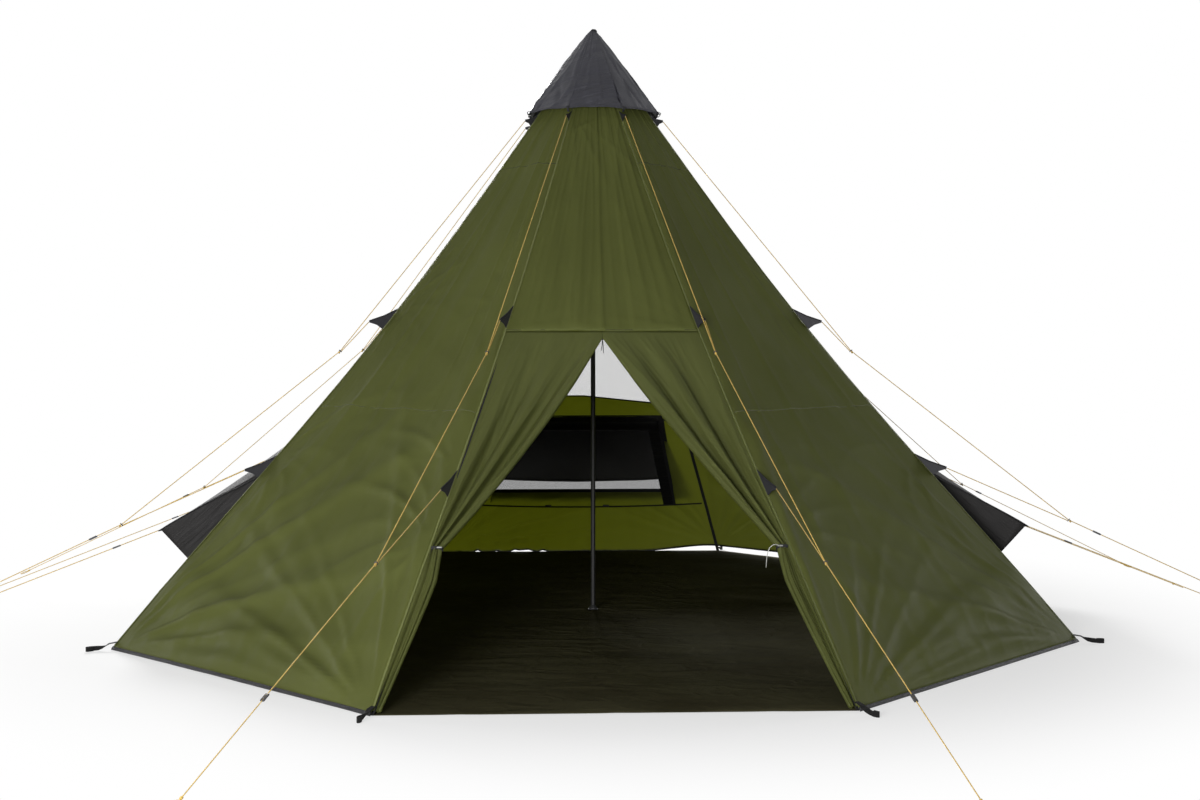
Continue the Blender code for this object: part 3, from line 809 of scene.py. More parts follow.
def half_width(z):
    """Half the width of a wall at a height, from seam to seam."""
    return seam_radius(z) * math.sin(half_side)


def wall_normal(side):
    """The direction out of a wall, square to its slope."""
    return outward(side) * math.sin(lean) + Vector((0.0, 0.0, math.cos(lean)))


def on_wall(side, sideways, z, stand=0.0):
    """A point of a wall, stand out from its outer face."""
    flat = outward(side) * wall_reach(z) + across(side) * sideways + Vector((0.0, 0.0, z))
    return flat + wall_normal(side) * stand


def crest(value, width):
    """How high a narrow fold stands where a value crosses zero, from 0 to 1."""
    return math.exp(-((value / width) ** 2))


def random_at(*place):
    """A smooth random number between -1 and 1 at a place."""
    return noise.noise(Vector(place))


def crease(x, y, seed, width=0.10):
    """Meandering creases, long where a coordinate changes slowly."""
    return crest(random_at(x, y, seed), width)


def fan(dx, dy, count, reach, seed=0.0, curve=0.0):
    """Folds that fan out from a point where the cloth is pulled, for 1 m of run."""
    run = math.hypot(dx, dy)
    turn = math.atan2(dy, dx)
    bend = 0.035 * random_at(run * 1.3, turn * 1.2, seed) + curve * run
    strength = 0.60 + 1.3 * random_at((turn + bend) * 2.9, seed, run * 0.25)
    folds = crest(math.sin((turn + bend) * count + seed), 0.50)
    return run * math.exp(-run / reach) * folds * max(0.0, strength)


rear_hem_rise = 0.042  # at the rear right corner, where the hem rides up off the ground
rear_hem_lifts = (
    (0.73, 0.022, 0.016), (0.59, 0.014, 0.013), (0.46, 0.030, 0.019), (0.38, 0.040, 0.019),
    (0.26, 0.026, 0.015),
)  # place along the rear wall, half width and height of its other lifted spots
hem_rise_top = 0.35  # the cloth above this height isn't moved by it
vent_slack = 0.060  # how far the rear vent's slack lower edge hangs
vent_slack_half = 0.12


def eased(value):
    value = min(1.0, max(0.0, value))
    return value * value * (3.0 - 2.0 * value)


def hem_rise(side, u):
    """How far a hem rides up off the ground."""
    if side == 180.0:
        low = sum(size * crest(u - middle, wide) for middle, wide, size in rear_hem_lifts)
        return rear_hem_rise * eased((-u - 0.42) / 0.55) + low
    if side == 135.0:
        return rear_hem_rise * eased((u + 1.0) / 0.5)
    return 0.0


def edge_drop(side, u, z):
    """How far the cloth hangs below its place at the rear vent's slack lower edge."""
    if side != 180.0:
        return 0.0
    return vent_slack * max(0.0, -u) * crest(z - vent_bottom, vent_slack_half)


pulls = (
    (0.0, 13.0, 0.100, 0.55, 0.05),
    (0.0, 7.0, 0.050, 1.10, 0.0),
    (0.870, 8.0, 0.100, 0.22, 0.9),
    (1.600, 7.0, 0.075, 0.18, 0.7),
)  # height on the seam, folds in a turn, size, reach and curve of the folds that start there
tie_pull = (0.600, 8.0, 0.140, 0.26, 0.8)
window_hole = (window_bottom, window_top, window_share)
openings = {
    -90.0: [window_hole],
    90.0: [window_hole],
    180.0: [window_hole, (vent_bottom, vent_top, vent_share)],
}
landing_low, landing_high = 0.30, 0.52  # a closed hood's edge comes down between them
landing_room = 0.016  # the most that folds stand out there
landing_fade = 0.06
swell = 0.014  # of a whole panel
crease_sizes = (0.0060, 0.0030, 0.0022, 0.0008)  # long, shorter, across and small ones
pucker_size, pucker_reach = 0.0040, 0.05  # beside a corner seam
wrinkle_size, wrinkle_reach = 0.0060, 0.075  # beside a level seam
groove_depth, groove_half = 0.0015, 0.012  # of a level seam itself
foot_size, foot_reach = 0.0045, 0.10  # just above the hem
held_reach = 0.09  # folds die out this near an opening
quiet_shares = {-45.0: 1.0, 45.0: 0.7, -90.0: 0.3, 90.0: 0.4, 180.0: 1.2}


def wall_folds(side, u, z):
    """How far the cloth stands out from the flat wall, from its folds and tension lines."""
    half = half_width(z)
    s, up = u * half, z * slope_stretch
    seed = side * 0.37 + 11.0
    edge = 1.0 - abs(u) ** 14
    quiet = quiet_shares.get(side, 0.6)
    shift = 0.6 + random_at(u * 1.4, up * 0.8, seed + 2.0)
    long, shorter, crossing, small = crease_sizes
    total = swell * random_at(u * 1.6 + seed, up * 0.7, seed)
    total += long * quiet * crease(u * 2.2, up * 0.15, seed, 0.09)
    total += shorter * quiet * shift * crease(u * 4.6, up * 0.30, seed + 4.0, 0.10)
    total += crossing * shift * crease(s * 3.2 + up * 1.0, up * 1.2 - s * 2.0, seed + 7.0, 0.12)
    total += small * crease(s * 9.0, up * 5.0, seed + 17.0, 0.16)
    for way in (-1, 1):
        dx = (s - way * half) * -way
        near_door = (side, way) in ((-45.0, 1), (45.0, -1))
        for height, count, size, reach, curve in pulls + ((tie_pull,) if near_door else ()):
            dy = up - height * slope_stretch
            strength = quiet * (1.5 if (side, way, height) == (45.0, -1, 0.0) else 1.0)
            total += size * strength * fan(dx, dy, count, reach, seed + way * (1.0 + height), curve)
        pucker = random_at(up * 22.0, dx * 5.0, seed + way)
        total += pucker_size * pucker * math.exp(-dx / pucker_reach)
    for height in level_seams:
        dy = up - height * slope_stretch
        pull = 1.0 if dy < 0.0 else 0.6
        wrinkle = random_at(s * 20.0, dy * 4.0, seed + height)
        total += wrinkle_size * pull * wrinkle * math.exp(-abs(dy) / wrinkle_reach)
        total -= groove_depth * crest(dy, groove_half)
    total += foot_size * random_at(s * 16.0, up * 5.0, seed + 5.0) * math.exp(-up / foot_reach)
    held = 1.0
    for low, high, share in openings.get(side, ()):
        beside, beyond = (abs(u) - share) * half, max(low - z, z - high) * slope_stretch
        held = min(held, math.hypot(max(0.0, beside), max(0.0, beyond)) / held_reach)
    folds = total * edge * held * min(1.0, 0.12 + up / 0.12)
    if side in openings and landing_low < z < landing_high and folds > landing_room:
        blunt = min(0.9, (z - landing_low) / landing_fade, (landing_high - z) / landing_fade)
        folds += blunt * (landing_room - folds)
    return folds


def cloth(name, columns, rows, place, cut, finish, gone=None, depth=cloth_depth, closed=False):
    """A cloth on a grid: place(u, v) is a point of it, and cut(u, v) its place on the flat cut.
    The two side edges of a closed one are joined."""
    bm = bmesh.new()
    layer = bm.loops.layers.uv.new("cut")
    made = {}
    for j in range(len(rows) - 1):
        for i in range(len(columns) - 1):
            if gone and gone((columns[i] + columns[i + 1]) / 2.0, (rows[j] + rows[j + 1]) / 2.0):
                continue
            ring = [(i, j), (i + 1, j), (i + 1, j + 1), (i, j + 1)]
            for a, b in ring:
                if (a, b) not in made:
                    made[a, b] = bm.verts.new(place(columns[a], rows[b]))
            face = bm.faces.new([made[key] for key in ring])
            for loop, (a, b) in zip(face.loops, ring):
                loop[layer].uv = cut(columns[a], rows[b])
    piece = from_faces(name, bm, finish)
    if closed:
        only(piece)
        bpy.ops.object.mode_set(mode="EDIT")
        bpy.ops.mesh.select_all(action="SELECT")
        bpy.ops.mesh.remove_doubles(threshold=0.00005)
        bpy.ops.object.mode_set(mode="OBJECT")
    if depth:
        thicken = piece.modifiers.new("thickness", "SOLIDIFY")
        thicken.thickness = depth
        thicken.offset = -1.0
        apply_modifiers(piece)
        piece.data.polygons.foreach_set("use_smooth", [True] * len(piece.data.polygons))
    return piece


def spread(*stops_and_counts):
    """Numbers from stop to stop, each stretch split evenly: stop, count, stop, count, stop."""
    values = [stops_and_counts[0]]
    for k in range(0, len(stops_and_counts) - 2, 2):
        low, count, high = stops_and_counts[k : k + 3]
        values += [low + (high - low) * n / count for n in range(1, count + 1)]
    return values


def threads(tree, cut, pitch, ways="XY"):
    """Rows of threads at a pitch on the flat cut, with an output socket for each way."""
    waves = [
        add_node(tree, "ShaderNodeTexWave", cut, Scale=0.5 / pitch, bands_direction=way)
        for way in ways
    ]
    return [wave.outputs["Fac"] for wave in waves]


crumple_folds = (((4.0, 1.6, 1.0), 1.0), ((9.0, 6.5, 1.0), 0.45))  # scale, share of the height


def cloth_finish(name, colour, deep, roughness, weave, specular, through=None, crumple=0.0):
    """Woven cloth: a fine plain weave, soft shifts of colour and shine, small creases of a
    height in metres, and light that comes through."""
    made, tree, shader, coordinates = start_finish(name, roughness, specular)
    broad = patches(tree, coordinates["Object"], 1.7, 5.0, Roughness=0.55)
    specks = patches(tree, coordinates["Object"], 55.0, 4.0)
    soft = tint(tree, ranged(tree, broad, 0.35, 0.65, 0.0, 1.0), colour, deep)
    final = tint(tree, maths(tree, "MULTIPLY", specks, 0.35), soft, deep)
    shine = ranged(tree, broad, 0.0, 1.0, roughness - 0.07, roughness + 0.10)
    woven = maths(tree, "ADD", *threads(tree, coordinates["UV"], weave))
    normal = bumped(tree, 0.35, weave * 0.15, woven)
    for scale, share in crumple_folds if crumple else ():
        stretch = add_node(tree, "ShaderNodeMapping", coordinates["UV"], Scale=scale)
        fold = patches(tree, stretch.outputs[0], 1.0, 1.5, Distortion=0.5)
        height = maths(tree, "ABSOLUTE", maths(tree, "SUBTRACT", fold, 0.5))
        narrow = ranged(tree, height, 0.0, 0.16, 1.0, 0.0, interpolation_type="SMOOTHSTEP")
        normal = bumped(tree, 0.6, crumple * share, narrow, Normal=normal)
    join(tree, shader, Base_Color=final, Roughness=shine, Normal=normal)
    if through:
        share, light = through
        glow = add_node(tree, "ShaderNodeBsdfTranslucent", Color=(*light, 1.0))
        mixed_surface(tree, share, shader, glow)
    return made


olive_cloth = cloth_finish(
    "olive_cloth", (0.104, 0.116, 0.034), (0.088, 0.098, 0.028), 0.55, 0.0012, 0.07,
    through=(0.30, (0.42, 0.45, 0.085)), crumple=0.0010,
)


def wall_point(side):
    def place(u, z):
        sideways = u * (half_width(z) - seam_inset)
        stand = wall_folds(side, u, z) - cloth_sink
        rise = hem_rise(side, u) * max(0.0, 1.0 - (z - wall_foot) / hem_rise_top)
        return on_wall(side, sideways, z + rise - edge_drop(side, u, z), stand)

    return place


def wall_cut(u, z):
    return u * half_width(z), z * slope_stretch


def wall_flat(low, high):
    """Width and length of the piece that a wall is cut from."""
    return 2.0 * half_width(low), (high - low) * slope_stretch


def cut_area(low, high, share=1.0):
    """The area of a wall's cut between two heights, or of an opening in it."""
    return share * (half_width(low) + half_width(high)) * (high - low) * slope_stretch


wall_sides = {
    "front_left": -45.0, "rear_left": -135.0, "rear_right": 135.0, "front_right": 45.0,
    "left": -90.0, "right": 90.0, "rear": 180.0,
}
plain_grid = spread(-1.0, 150, 1.0), spread(wall_foot, 210, wall_top)
window_grid = (
    spread(-1.0, 14, -window_share, 90, window_share, 14, 1.0),
    spread(wall_foot, 34, window_bottom, 32, window_top, 120, wall_top),
)
rear_grid = (
    spread(-1.0, 10, -vent_share, 8, -window_share, 90, window_share, 8, vent_share, 10, 1.0),
    spread(wall_foot, 34, window_bottom, 32, window_top, 10, vent_bottom, 20, vent_top, 80, wall_top),
)
grids = {"left": window_grid, "right": window_grid, "rear": rear_grid}


def in_an_opening(u, z, holes):
    return any(abs(u) < share and low < z < high for low, high, share in holes)


for place, side in wall_sides.items():
    holes = openings.get(side, [])
    wall = cloth(
        "wall_cloth_" + place, *grids.get(place, plain_grid), wall_point(side), wall_cut,
        olive_cloth, gone=lambda u, z, holes=holes: in_an_opening(u, z, holes),
    )
    belongs(wall, "olive_fabric", "wall_" + place)
    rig.sheet(
        wall, flat=wall_flat(wall_foot, wall_top), held="stretched", rests_on=["pole_tip"],
        area=cut_area(wall_foot, wall_top) - sum(cut_area(*hole) for hole in holes),
    )

# Header: the olive panel over the door, sewn to the two front seams. It carries the door's
# load, so it is smoother than the walls, with faint folds from its upper corners.
header_foot = 1.50
header_swell = 0.008
header_creases = (0.0070, 0.0035)
header_pull, header_pull_reach = 0.080, 0.14  # at its lower corners
header_top_pull, header_top_reach = 0.034, 0.50
header_top_below = 0.15  # from the wall's top down to where the upper folds start
header_wrinkle, header_wrinkle_reach = 0.0030, 0.06


def header_point(u, z):
    half = half_width(z)
    s, up = u * half, (z - header_foot) * slope_stretch
    folds = header_swell * random_at(u * 1.8, up * 0.6, 2.0)
    folds += header_creases[0] * crease(u * 2.6, up * 0.35, 7.0, 0.12)
    folds += header_creases[1] * crease(u * 6.0, up * 0.8, 9.0, 0.14)
    for way in (-1, 1):
        dx = (s - way * half) * -way
        from_top = (z - wall_top + header_top_below) * slope_stretch
        folds += header_pull * fan(dx, up, 8.0, header_pull_reach, way * 1.4)
        folds += header_top_pull * fan(dx, from_top, 12.0, header_top_reach, way * 2.9)
    wrinkle = random_at(s * 22.0, up * 4.0, 3.0)
    folds += header_wrinkle * wrinkle * math.exp(-up / header_wrinkle_reach)
    stand = folds * (1.0 - abs(u) ** 14) * min(1.0, up / 0.03 + 0.2) - cloth_sink
    return on_wall(0.0, u * (half - seam_inset), z, stand)


header_grid = spread(-1.0, 80, 1.0), spread(header_foot, 110, wall_top)
header = cloth("header_cloth", *header_grid, header_point, wall_cut, olive_cloth)
belongs(header, "olive_fabric", "header_panel")
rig.sheet(
    header, flat=wall_flat(header_foot, wall_top), held="stretched", rests_on=["pole_tip"],
    area=cut_area(header_foot, wall_top),
)

# Corner seams: a folded olive seam outside and a black woven tape inside, sewn down each
# corner with two rows of stitching. The wall edges are caught between them.
seam_width, seam_depth = 0.009, 0.0022
tape_width, tape_depth = 0.020, 0.0016
seam_low, seam_high = 0.0205, 2.798
seam_wobble = 0.0012
tape_inset = 0.0085  # from the corner's edge in to the tape
tape_tail_inset = 0.0095
tape_tail = (0.004, 0.012)  # heights of its lowest stretch
tape_outline = ((-0.5, -0.5), (0.5, -0.5), (0.5, 0.2), (0.35, 0.5), (-0.35, 0.5), (-0.5, 0.2))
rib = 0.0016
stitch = 0.004
stitch_half = 0.0006
tape_bump = 0.0004


def strip(name, line, width, depth, finish, slot="black_webbing", closed=False, **belonging):
    """A flat tape along a line of (point, sideways direction, outward direction)."""
    rings = [
        [point + side * (a * width) + out * (b * depth) for a, b in tape_outline]
        for point, side, out in line
    ]
    lengths = run_lengths([point for point, side, out in line])
    lengths.append(lengths[-1])

    def cut(a, b):
        return tape_outline[b % len(tape_outline)][0] * width, lengths[a]

    return belongs(skin(name, rings, cut, finish, closed, smooth=False), slot, **belonging)


def tape_finish(name, colour, thread, roughness, row_out):
    """A woven tape or folded seam: cross ribs, and two rows of lockstitch out from its middle."""
    made, tree, shader, coordinates = start_finish(name, roughness, specular=0.15)
    place = add_node(tree, "ShaderNodeSeparateXYZ", coordinates["UV"]).outputs
    on_row = maths(tree, "COMPARE", maths(tree, "ABSOLUTE", place["X"]), row_out, stitch_half)
    dash = maths(tree, "PINGPONG", place["Y"], stitch / 2.0)
    stitches = maths(tree, "MULTIPLY", on_row, maths(tree, "GREATER_THAN", dash, stitch * 0.12))
    wear = patches(tree, coordinates["Object"], 40.0, 4.0)
    base = tint(tree, wear, colour, tuple(c * 1.7 + 0.002 for c in colour))
    height = maths(tree, "ADD", *threads(tree, coordinates["UV"], rib, "Y"), stitches)
    join(
        tree, shader, Base_Color=tint(tree, stitches, base, thread),
        Normal=bumped(tree, 0.5, tape_bump, height),
    )
    return made


olive_seam = tape_finish("olive_seam", (0.080, 0.089, 0.027), (0.105, 0.116, 0.042), 0.6, 0.0022)
black_tape = tape_finish("black_tape", (0.011, 0.011, 0.012), (0.03, 0.03, 0.03), 0.65, 0.007)
felled_seam = tape_finish(
    "felled_seam", (0.050, 0.056, 0.018), (0.075, 0.083, 0.030), 0.65, 0.0016
)
for place, corner in corners.items():
    side = across(corner)
    square = wall_normal(corner)
    outside, inside = [], []
    for z in tape_tail:
        inside.append((in_plane(corner, seam_radius(z) - tape_tail_inset, z), side, -outward(corner)))
    for z in spread(seam_low, 90, seam_high):
        wobble = seam_wobble * random_at(z * 14.0, corner, 3.0)
        point = in_plane(corner, seam_radius(z), z, wobble)
        outside.append((point + square * (seam_depth * 0.15), side, square))
        inside.append((in_plane(corner, seam_radius(z) - tape_inset, z, wobble), side, -square))
    strip("seam_" + place, outside, seam_width, seam_depth, olive_seam, "olive_fabric")
    strip(
        "seam_tape_" + place, inside, tape_width, tape_depth, black_tape,
        node="corner_webbing_" + place,
    )

# Level seams: where two widths of the wall cloth are joined, a flat felled seam with two
# rows of stitching. They show as faint level lines, and one runs along the header's foot.
level_width, level_depth = 0.0055, 0.0010
level_end = 0.985
header_seam_rise = 0.005
header_seam_stand = 0.0002


def tape_line(side, points, out=1.0):
    """A tape's line from points of a wall: its width runs up the slope, its face out or in."""
    up_slope = across(side).cross(wall_normal(side)) * -1.0
    return [(point, up_slope, wall_normal(side) * out) for point in points]


for place, side in wall_sides.items():
    for number, z in enumerate(level_seams):
        if (place, number) != ("rear", 0):
            points = [
                on_wall(
                    side, u * half_width(z), z,
                    wall_folds(side, u, z) - cloth_sink + level_depth * 0.5,
                )
                for u in spread(-level_end, 92, level_end)
            ]
            name = f"level_seam_{place}_{number}"
            strip(name, tape_line(side, points), level_width, level_depth, felled_seam, "olive_fabric")
z = header_foot + header_seam_rise
points = [
    on_wall(0.0, u * half_width(z), z, header_seam_stand) for u in spread(-level_end, 60, level_end)
]
line = tape_line(0.0, points)
strip("header_seam", line, level_width, level_depth, felled_seam, "olive_fabric")

# Guy tabs: triangles of doubled dark-grey cloth, sewn into the corner seams at two heights,
# with a bound black top edge. Under the cap each corner has a short webbing tab instead.
tab_reaches = ((0.027, 0.028), (0.038, 0.066), (0.038, 0.066))  # below and above its tip
tab_depth = 0.0022
tab_blunt = 0.004
tab_root = 0.001  # how far it goes into the seam
tab_hollow_below, tab_hollow_above = 0.004, 0.002
tab_edge_width, tab_edge_depth = tab_depth * 2.2, 0.007
tab_grey = cloth_finish(
    "tab_grey", (0.020, 0.020, 0.023), (0.013, 0.013, 0.016), 0.6, 0.0012, 0.3
)


def slab(name, outline, direction, depth, finish, rounding=0.0004):
    """A flat piece with an outline of points, thick along a direction, its edges rounded."""
    bm = bmesh.new()
    layer = bm.loops.layers.uv.new("cut")
    low = [bm.verts.new(point - direction * (depth / 2.0)) for point in outline]
    high = [bm.verts.new(point + direction * (depth / 2.0)) for point in outline]
    bm.faces.new(list(reversed(low)))
    bm.faces.new(high)
    for k in range(len(outline)):
        after = (k + 1) % len(outline)
        bm.faces.new((low[k], low[after], high[after], high[k]))
    bmesh.ops.recalc_face_normals(bm, faces=bm.faces)
    first = (outline[1] - outline[0]).normalized()
    second = direction.cross(first)
    for face in bm.faces:
        for loop in face.loops:
            loop[layer].uv = (loop.vert.co.dot(first), loop.vert.co.dot(second))
    piece = from_faces(name, bm, finish, smooth=False)
    soft = piece.modifiers.new("edges", "BEVEL")
    soft.width = rounding
    soft.segments = 2
    soft.limit_method = "ANGLE"
    apply_modifiers(piece)
    return belongs(piece, "black_webbing")


for place, corner in corners.items():
    side = across(corner)
    for number, ((tip, reach), (below, above)) in enumerate(zip(tab_tips, tab_reaches)):
        low, high = seam_radius(tip - below), seam_radius(tip + above)
        out = seam_radius(tip) + reach
        outline = [
            in_plane(corner, radius, z)
            for radius, z in (
                (low - tab_root, tip - below),
                ((low + out) / 2.0 - tab_hollow_below, tip - below * 0.42),
                (out, tip - tab_blunt),
                (out, tip + tab_blunt),
                ((high + out) / 2.0 - tab_hollow_above, tip + above * 0.46),
                (high - tab_root, tip + above),
            )
        ]
        finish = tab_grey if number else black_tape
        slab(f"guy_tab_{place}_{number}", outline, side, tab_depth, finish)
        edge = [(point, side, upright) for point in outline[:2:-1]]
        strip(f"guy_tab_edge_{place}_{number}", edge, tab_edge_width, tab_edge_depth, black_tape)

# Peg straps: black polyester webbing sewn into the foot of each corner seam. It runs down
# to the ground outside the tent, where a peg would hold its folded end.
strap_width, strap_depth = 0.022, 0.0030
strap_black = tape_finish(
    "strap_black", (0.004, 0.004, 0.004), (0.015, 0.015, 0.015), 0.75, 0.007
)
strap_run = (
    (-0.006, 0.034, 0.0), (0.006, 0.030, 0.0), (0.020, 0.022, 0.001), (0.038, 0.016, 0.003),
    (0.056, 0.0135, 0.002), (0.074, 0.0130, -0.001), (0.092, 0.0130, -0.003), (0.106, 0.0130, 0.001),
    (0.112, 0.0130, 0.008), (0.106, 0.0130, 0.014), (0.092, 0.0130, 0.012), (0.078, 0.0130, 0.007),
)  # out from the ground corner, height, sideways
for place, corner in corners.items():
    points = []
    for k, (out, z, aside) in enumerate(strap_run):
        root = corner_radius if k else seam_radius(z)
        points.append(in_plane(corner, root + max(out, 0.0), z, aside))
    line = []
    for k, (point, ahead) in enumerate(zip(points, headings(points))):
        side = across(corner).lerp(upright, eased((k - 1.0) / 4.0))
        side = (side - ahead * side.dot(ahead)).normalized()
        line.append((point, side, side.cross(ahead)))
    strip("peg_strap_" + place, line, strap_width, strap_depth, strap_black)

# Hem: a dark woven tape folded round the foot of the seven walls and stitched through. It
# rides up a little with the cloth at the rear, and leaves the door's threshold free.
hem_width = 0.0165  # up the slope
hem_depth = 0.0042
hem_middle = 0.0082
hem_stand, hem_end_stand = 0.0004, 0.0008
hem_black = tape_finish("hem_black", (0.013, 0.013, 0.014), (0.04, 0.04, 0.04), 0.6, 0.005)
hem_line = []
for side in sorted(wall_sides.values(), key=lambda angle: angle % 360.0):
    points = []
    for u in spread(-1.0, 60, 1.0)[:-1]:
        z = hem_middle + hem_rise(side, u)
        points.append(on_wall(side, u * half_width(z), z, wall_folds(side, u, wall_foot) + hem_stand))
    hem_line += tape_line(side, points)
hem_end = on_wall(-45.0, half_width(hem_middle), hem_middle, hem_end_stand)
hem_line += tape_line(-45.0, [hem_end])
strip("hem_tape", hem_line, hem_width, hem_depth, hem_black, "hem_tape", node="hem_band")

# Groundsheet: a near-black coated sheet, loose inside the hem. It lies flat with low
# creases from its folding.
ground_radius = 2.4868
ground_depth = 0.0006
ground_stand = 0.0011
ground_lift = 0.0040
ground_creases = 0.62  # between the creases from its folding
crease_size, crease_half = 0.0040, 0.014
ripple_sizes = (0.0060, 0.0050, 0.0014)
rim_size = 0.0060
ground_black = cloth_finish(
    "ground_black", (0.046, 0.043, 0.023), (0.028, 0.025, 0.013), 0.72, 0.0016, 0.02, crumple=0.006
)


def round_the_pole(u, reach):
    """The turn at a share of a circle, how far that is from a side's middle, and how far out
    an eight-sided sheet of a reach to its corners is there."""
    turn = u * 2.0 * math.pi
    inside = (turn % (2.0 * half_side)) - half_side
    return turn, inside, reach * math.cos(half_side) / math.cos(inside)


def ground_point(u, v):
    """u is the turn round the pole in shares of a circle, and v the share of the radius."""
    turn, inside, edge = round_the_pole(u, ground_radius)
    x, y = edge * v * math.sin(turn + half_side), -edge * v * math.cos(turn + half_side)
    lift = ground_lift
    for way in (x, y):
        offset = abs((way / ground_creases + 0.5) % 1.0 - 0.5) * ground_creases
        lift += crease_size * crest(offset, crease_half)
    lift += ripple_sizes[0] * random_at(x * 0.7, y * 3.2, 1.0)
    lift += ripple_sizes[1] * crease(x * 0.5, y * 2.3, 3.0, 0.10)
    lift += ripple_sizes[2] * random_at(x * 5.0, y * 9.0, 6.0)
    rise = max(0.0, lift) * min(1.0, (1.0 - v) / 0.03 + 0.25)
    rim = rim_size * crest(1.0 - v, 0.010) * eased(y / 0.8)
    return Vector((x, y, ground_stand + rise + rim))


def ground_cut(u, v):
    point = ground_point(u, v)
    return point.y, point.x


ground = cloth(
    "ground_cloth", spread(0.0, 192, 1.0), spread(0.0, 90, 1.0)[1:], ground_point, ground_cut,
    ground_black, depth=ground_depth, closed=True,
)
belongs(ground, "ground_fabric", "groundsheet")
ground_across = 2.0 * ground_radius * math.cos(half_side)
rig.sheet(ground, flat=(ground_across, ground_across), held="laid", rests_on=["hem_tape"])

# Cap: a rain cap of crinkled charcoal cloth in eight gores, with a bound hem. The pole's pin
# holds its tip, and a short tab stands on it.
cap_hem_height, cap_tip_height = 2.6575, 3.125
cap_hem_radius, cap_tip_radius = 0.3675, 0.017
cap_depth = 0.0009
cap_tip_room = 0.006  # under the tab
cap_bulge, cap_tip_sink, cap_arch = 0.006, 0.004, 0.007
crinkle_sizes = (0.0034, 0.0020, -0.0090, 0.0060)
cap_flat, cap_area = 1.30, 0.62
cap_slope = 0.59  # the length of a gore
cap_columns = 192
first_corner = 22.5  # from the door's middle round to the seam where a turn starts
cap_grey = cloth_finish(
    "cap_grey", (0.050, 0.050, 0.060), (0.026, 0.026, 0.033), 0.45, 0.0014, 0.26, crumple=0.006
)


def cap_point(u, v):
    """u is the turn round the pole in shares of a circle, and v the share of the height."""
    corner = cap_hem_radius * (1.0 - v) + cap_tip_radius * v
    turn, inside, ridge = round_the_pole(u, corner)
    z = cap_hem_height + (cap_tip_height - cap_tip_room - cap_hem_height) * v
    roundness = 0.20 + 0.80 * math.sin(math.pi / 2.0 * v) ** 1.5
    mixed = ridge * (1.0 - roundness) + corner * roundness
    bulge = cap_bulge * math.sin(math.pi * v) - cap_tip_sink * max(0.0, v - 0.93) / 0.07
    arch = cap_arch * (1.0 - v) ** 6 * math.cos(inside / half_side * math.pi / 2.0)
    crinkle = crinkle_sizes[0] * random_at(u * 40.0, v * 9.0, 2.0)
    crinkle += crinkle_sizes[1] * random_at(u * 90.0, v * 30.0, 8.0)
    crinkle += crinkle_sizes[2] * crease(u * 13.0, v * 0.9, 5.0, 0.07)
    crinkle += crinkle_sizes[3] * crease(u * 21.0, v * 1.7 + u * 5.0, 9.0, 0.09)
    out = mixed + bulge + crinkle * (0.35 + 0.65 * (1.0 - v))
    return in_plane(math.degrees(turn) + first_corner, out, z + arch)


def cap_cut(u, v):
    return u * 2.0 * math.pi * cap_hem_radius * (1.0 - 0.9 * v), v * cap_slope


cap = cloth(
    "cap_cloth", spread(0.0, cap_columns, 1.0), spread(0.0, 54, 1.0), cap_point, cap_cut, cap_grey,
    depth=cap_depth, closed=True,
)
belongs(cap, "charcoal_fabric", "cap")
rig.sheet(cap, flat=(cap_flat, cap_flat), held="stretched", rests_on=["pole_tip"], area=cap_area)

cap_binding = tape_finish(
    "cap_binding", (0.032, 0.032, 0.038), (0.05, 0.05, 0.058), 0.6, 0.004
)
gore_seam = tape_finish("gore_seam", (0.030, 0.030, 0.037), (0.05, 0.05, 0.058), 0.6, 0.002)
binding_width, binding_depth, binding_stand = 0.014, 0.0030, 0.0004
gore_width, gore_depth, gore_stand = 0.0045, 0.0012, 0.0006
cap_tie_width, cap_tie_depth = 0.012, 0.0018
cap_tie_inset, cap_tie_rise = 0.004, 0.008  # of its root from the cap's hem
cap_tie_run = ((0.0, 0.0), (0.010, 0.002), (0.018, 0.008), (0.014, 0.020), (0.002, 0.030))


def on_cap(u, v, look, stand):
    """A point on the cap, and the directions up and out of it there."""
    point = cap_point(u, v)
    up_slope = (cap_point(u, v + look) - point).normalized()
    out = across(u * 360.0 + first_corner).cross(up_slope)
    return point + out * stand, up_slope, out


line = [on_cap(k / cap_columns, 0.004, 0.026, binding_stand) for k in range(cap_columns)]
strip("cap_hem", line, binding_width, binding_depth, cap_binding, "charcoal_fabric", closed=True)
for place, corner in corners.items():
    side = across(corner)
    u = ((corner - first_corner) % 360.0) / 360.0
    line = []
    for v in spread(0.0, 40, 0.94):
        point, up_slope, out = on_cap(u, v, 0.02, gore_stand)
        line.append((point, side, out))
    strip("cap_seam_" + place, line, gore_width, gore_depth, gore_seam, "charcoal_fabric")
    root = in_plane(corner, cap_hem_radius - cap_tie_inset, cap_hem_height + cap_tie_rise)
    square = (outward(corner) + upright).normalized()
    line = [(root + outward(corner) * out - upright * drop, side, square) for out, drop in cap_tie_run]
    strip("cap_tie_" + place, line, cap_tie_width, cap_tie_depth, black_tape)

cap_tab_width, cap_tab_rounding = 0.026, 0.002
cap_tab_outline = (
    (-0.014, -0.014), (0.020, -0.022), (0.021, -0.008), (0.012, 0.001), (-0.004, 0.002),
    (-0.012, -0.004),
)  # sideways, and up from the cap's tip
outline = [in_plane(90.0, aside, cap_tip_height + up) for aside, up in cap_tab_outline]
slab("cap_tab", outline, outward(0.0), cap_tab_width, black_tape, cap_tab_rounding)

# Insect mesh: fine knitted net in the windows, the rear vent and the ring under the cap.
# Light comes through between its threads.
net_pitch = 0.0016
net_overlap = 0.004  # over the edge of its opening
net_sag, net_sink = 0.006, 0.0022


